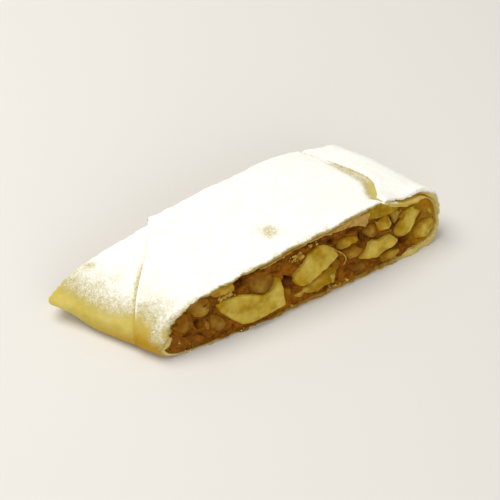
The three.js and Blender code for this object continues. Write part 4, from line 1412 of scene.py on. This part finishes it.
def sugar_sites(seed):
    """Sites over the fading dust at both ends, most where it is half bare, and along the bottom ledge."""
    draw = np.random.default_rng(seed)

    def spread(count, arcs, vs):
        return draw.uniform(*arcs, count), draw.uniform(*vs, count)

    ends = spread(1700, LEFT_FADE, (0.07, 0.97)), spread(560, RIGHT_FADE, (0.05, 0.95))
    arc, v = (np.concatenate(pair) for pair in zip(*ends))
    sites, cover = top_of_dough(arc, v, 0.05)
    kept = draw.uniform(size=len(arc)) < 2.0 * cover * (1 - cover) * (cover > 0.12)
    groups = [sites[kept]]
    for side in (0, 1):
        x = draw.uniform(-1, 132, 110)
        x = x[lumps(stacked(x, 50.0 * side, 0 * x), 5, 3.3) > 0.25]
        z = np.maximum(base(x) * draw.uniform(0.2, 1.0, len(x)), 0.2)
        groups.append(at_cut(x, z, draw.uniform(-0.5, 0.6, len(x)), side))
    return np.concatenate(groups)


clumps = sugar_sites(seed=41)
clump_radii = 0.1 + 0.16 * np.random.default_rng(42).uniform(size=len(clumps)) ** 2
clump_shape = {"seed": 43, "detail": 1, "uneven": 0.3, "longest": 1.4}
scatter("loose_icing_sugar", ICING_SUGAR, "icing_sugar", clumps, clump_radii, **clump_shape)


# %% [markdown]
# ## Camera, light and floor
# The camera looks down on the slice from the front left. The light is a large soft source high at the back
# left, so the sugar on top is nearly white and the cut face lies in mild shade, with a weak fill in front and
# an even white glow all round. The floor is plain and pale, so that it takes nothing from the pastry's tones.

# %% Camera
AIM = Vector((0.0, 0.0, 0.013))
AZIMUTH, ELEVATION, DISTANCE, ROLL = -35.7, 49.7, 0.683, 6.1
FRAME_WIDTH_AT_AIM = 0.205


def make_camera():
    """A camera that looks at AIM from AZIMUTH round and ELEVATION up, rolled a little."""
    az, el = math.radians(AZIMUTH), math.radians(ELEVATION)
    back = Vector((math.sin(az) * math.cos(el), -math.cos(az) * math.cos(el), math.sin(el)))
    data = bpy.data.cameras.new("camera")
    data.sensor_width = 36
    data.lens = data.sensor_width * DISTANCE / FRAME_WIDTH_AT_AIM
    data.clip_start = 0.01
    camera = bpy.data.objects.new("camera", data)
    bpy.context.scene.collection.objects.link(camera)
    turned = back.to_track_quat("Z", "Y").to_matrix().to_4x4() @ Matrix.Rotation(math.radians(ROLL), 4, "Z")
    camera.matrix_world = Matrix.Translation(AIM + back * DISTANCE) @ turned
    bpy.context.scene.camera = camera
    print("camera at", [round(c, 3) for c in camera.matrix_world.translation])


make_camera()


# %% Lights
def soft_light(name, spot, size, watts, color):
    """A round area light of size metres across, turned to AIM."""
    data = bpy.data.lights.new(name, "AREA")
    data.shape = "DISK"
    data.size = size
    data.energy = watts
    data.color = srgb(color)[:3]
    light = bpy.data.objects.new(name, data)
    light.location = spot
    light.rotation_euler = (AIM - Vector(spot)).to_track_quat("-Z", "Y").to_euler()
    bpy.context.scene.collection.objects.link(light)
    print(f"{name} light: {watts} W, {size} m across")


soft_light("key", (-0.3, 0.3, 0.95), size=0.7, watts=8.2, color="#ffffff")
soft_light("fill", (-0.25, -0.9, 0.5), size=0.9, watts=2.6, color="#ffffff")

world = bpy.data.worlds.new("soft_room")
world.use_nodes = True
room_light = world.node_tree.nodes["Background"]
room_light.inputs["Color"].default_value = srgb("#ffffff")
room_light.inputs["Strength"].default_value = 0.38
bpy.context.scene.world = world
bpy.context.scene.view_settings.view_transform = "Standard"


# %% Floor
def pale_floor(add, _):
    return add("BsdfPrincipled", {"Base Color": "#e4e0d8", "Roughness": 0.85})


HALF = 2  # half the floor's width, in metres
floor_mesh = bpy.data.meshes.new("floor")
floor_mesh.from_pydata([(-HALF, -HALF, 0), (HALF, -HALF, 0), (HALF, HALF, 0), (-HALF, HALF, 0)], [],
                       [(0, 1, 2, 3)])
floor_mesh.materials.append(material_from("pale_floor", pale_floor))
floor = bpy.data.objects.new("floor", floor_mesh)
bpy.context.scene.collection.objects.link(floor)
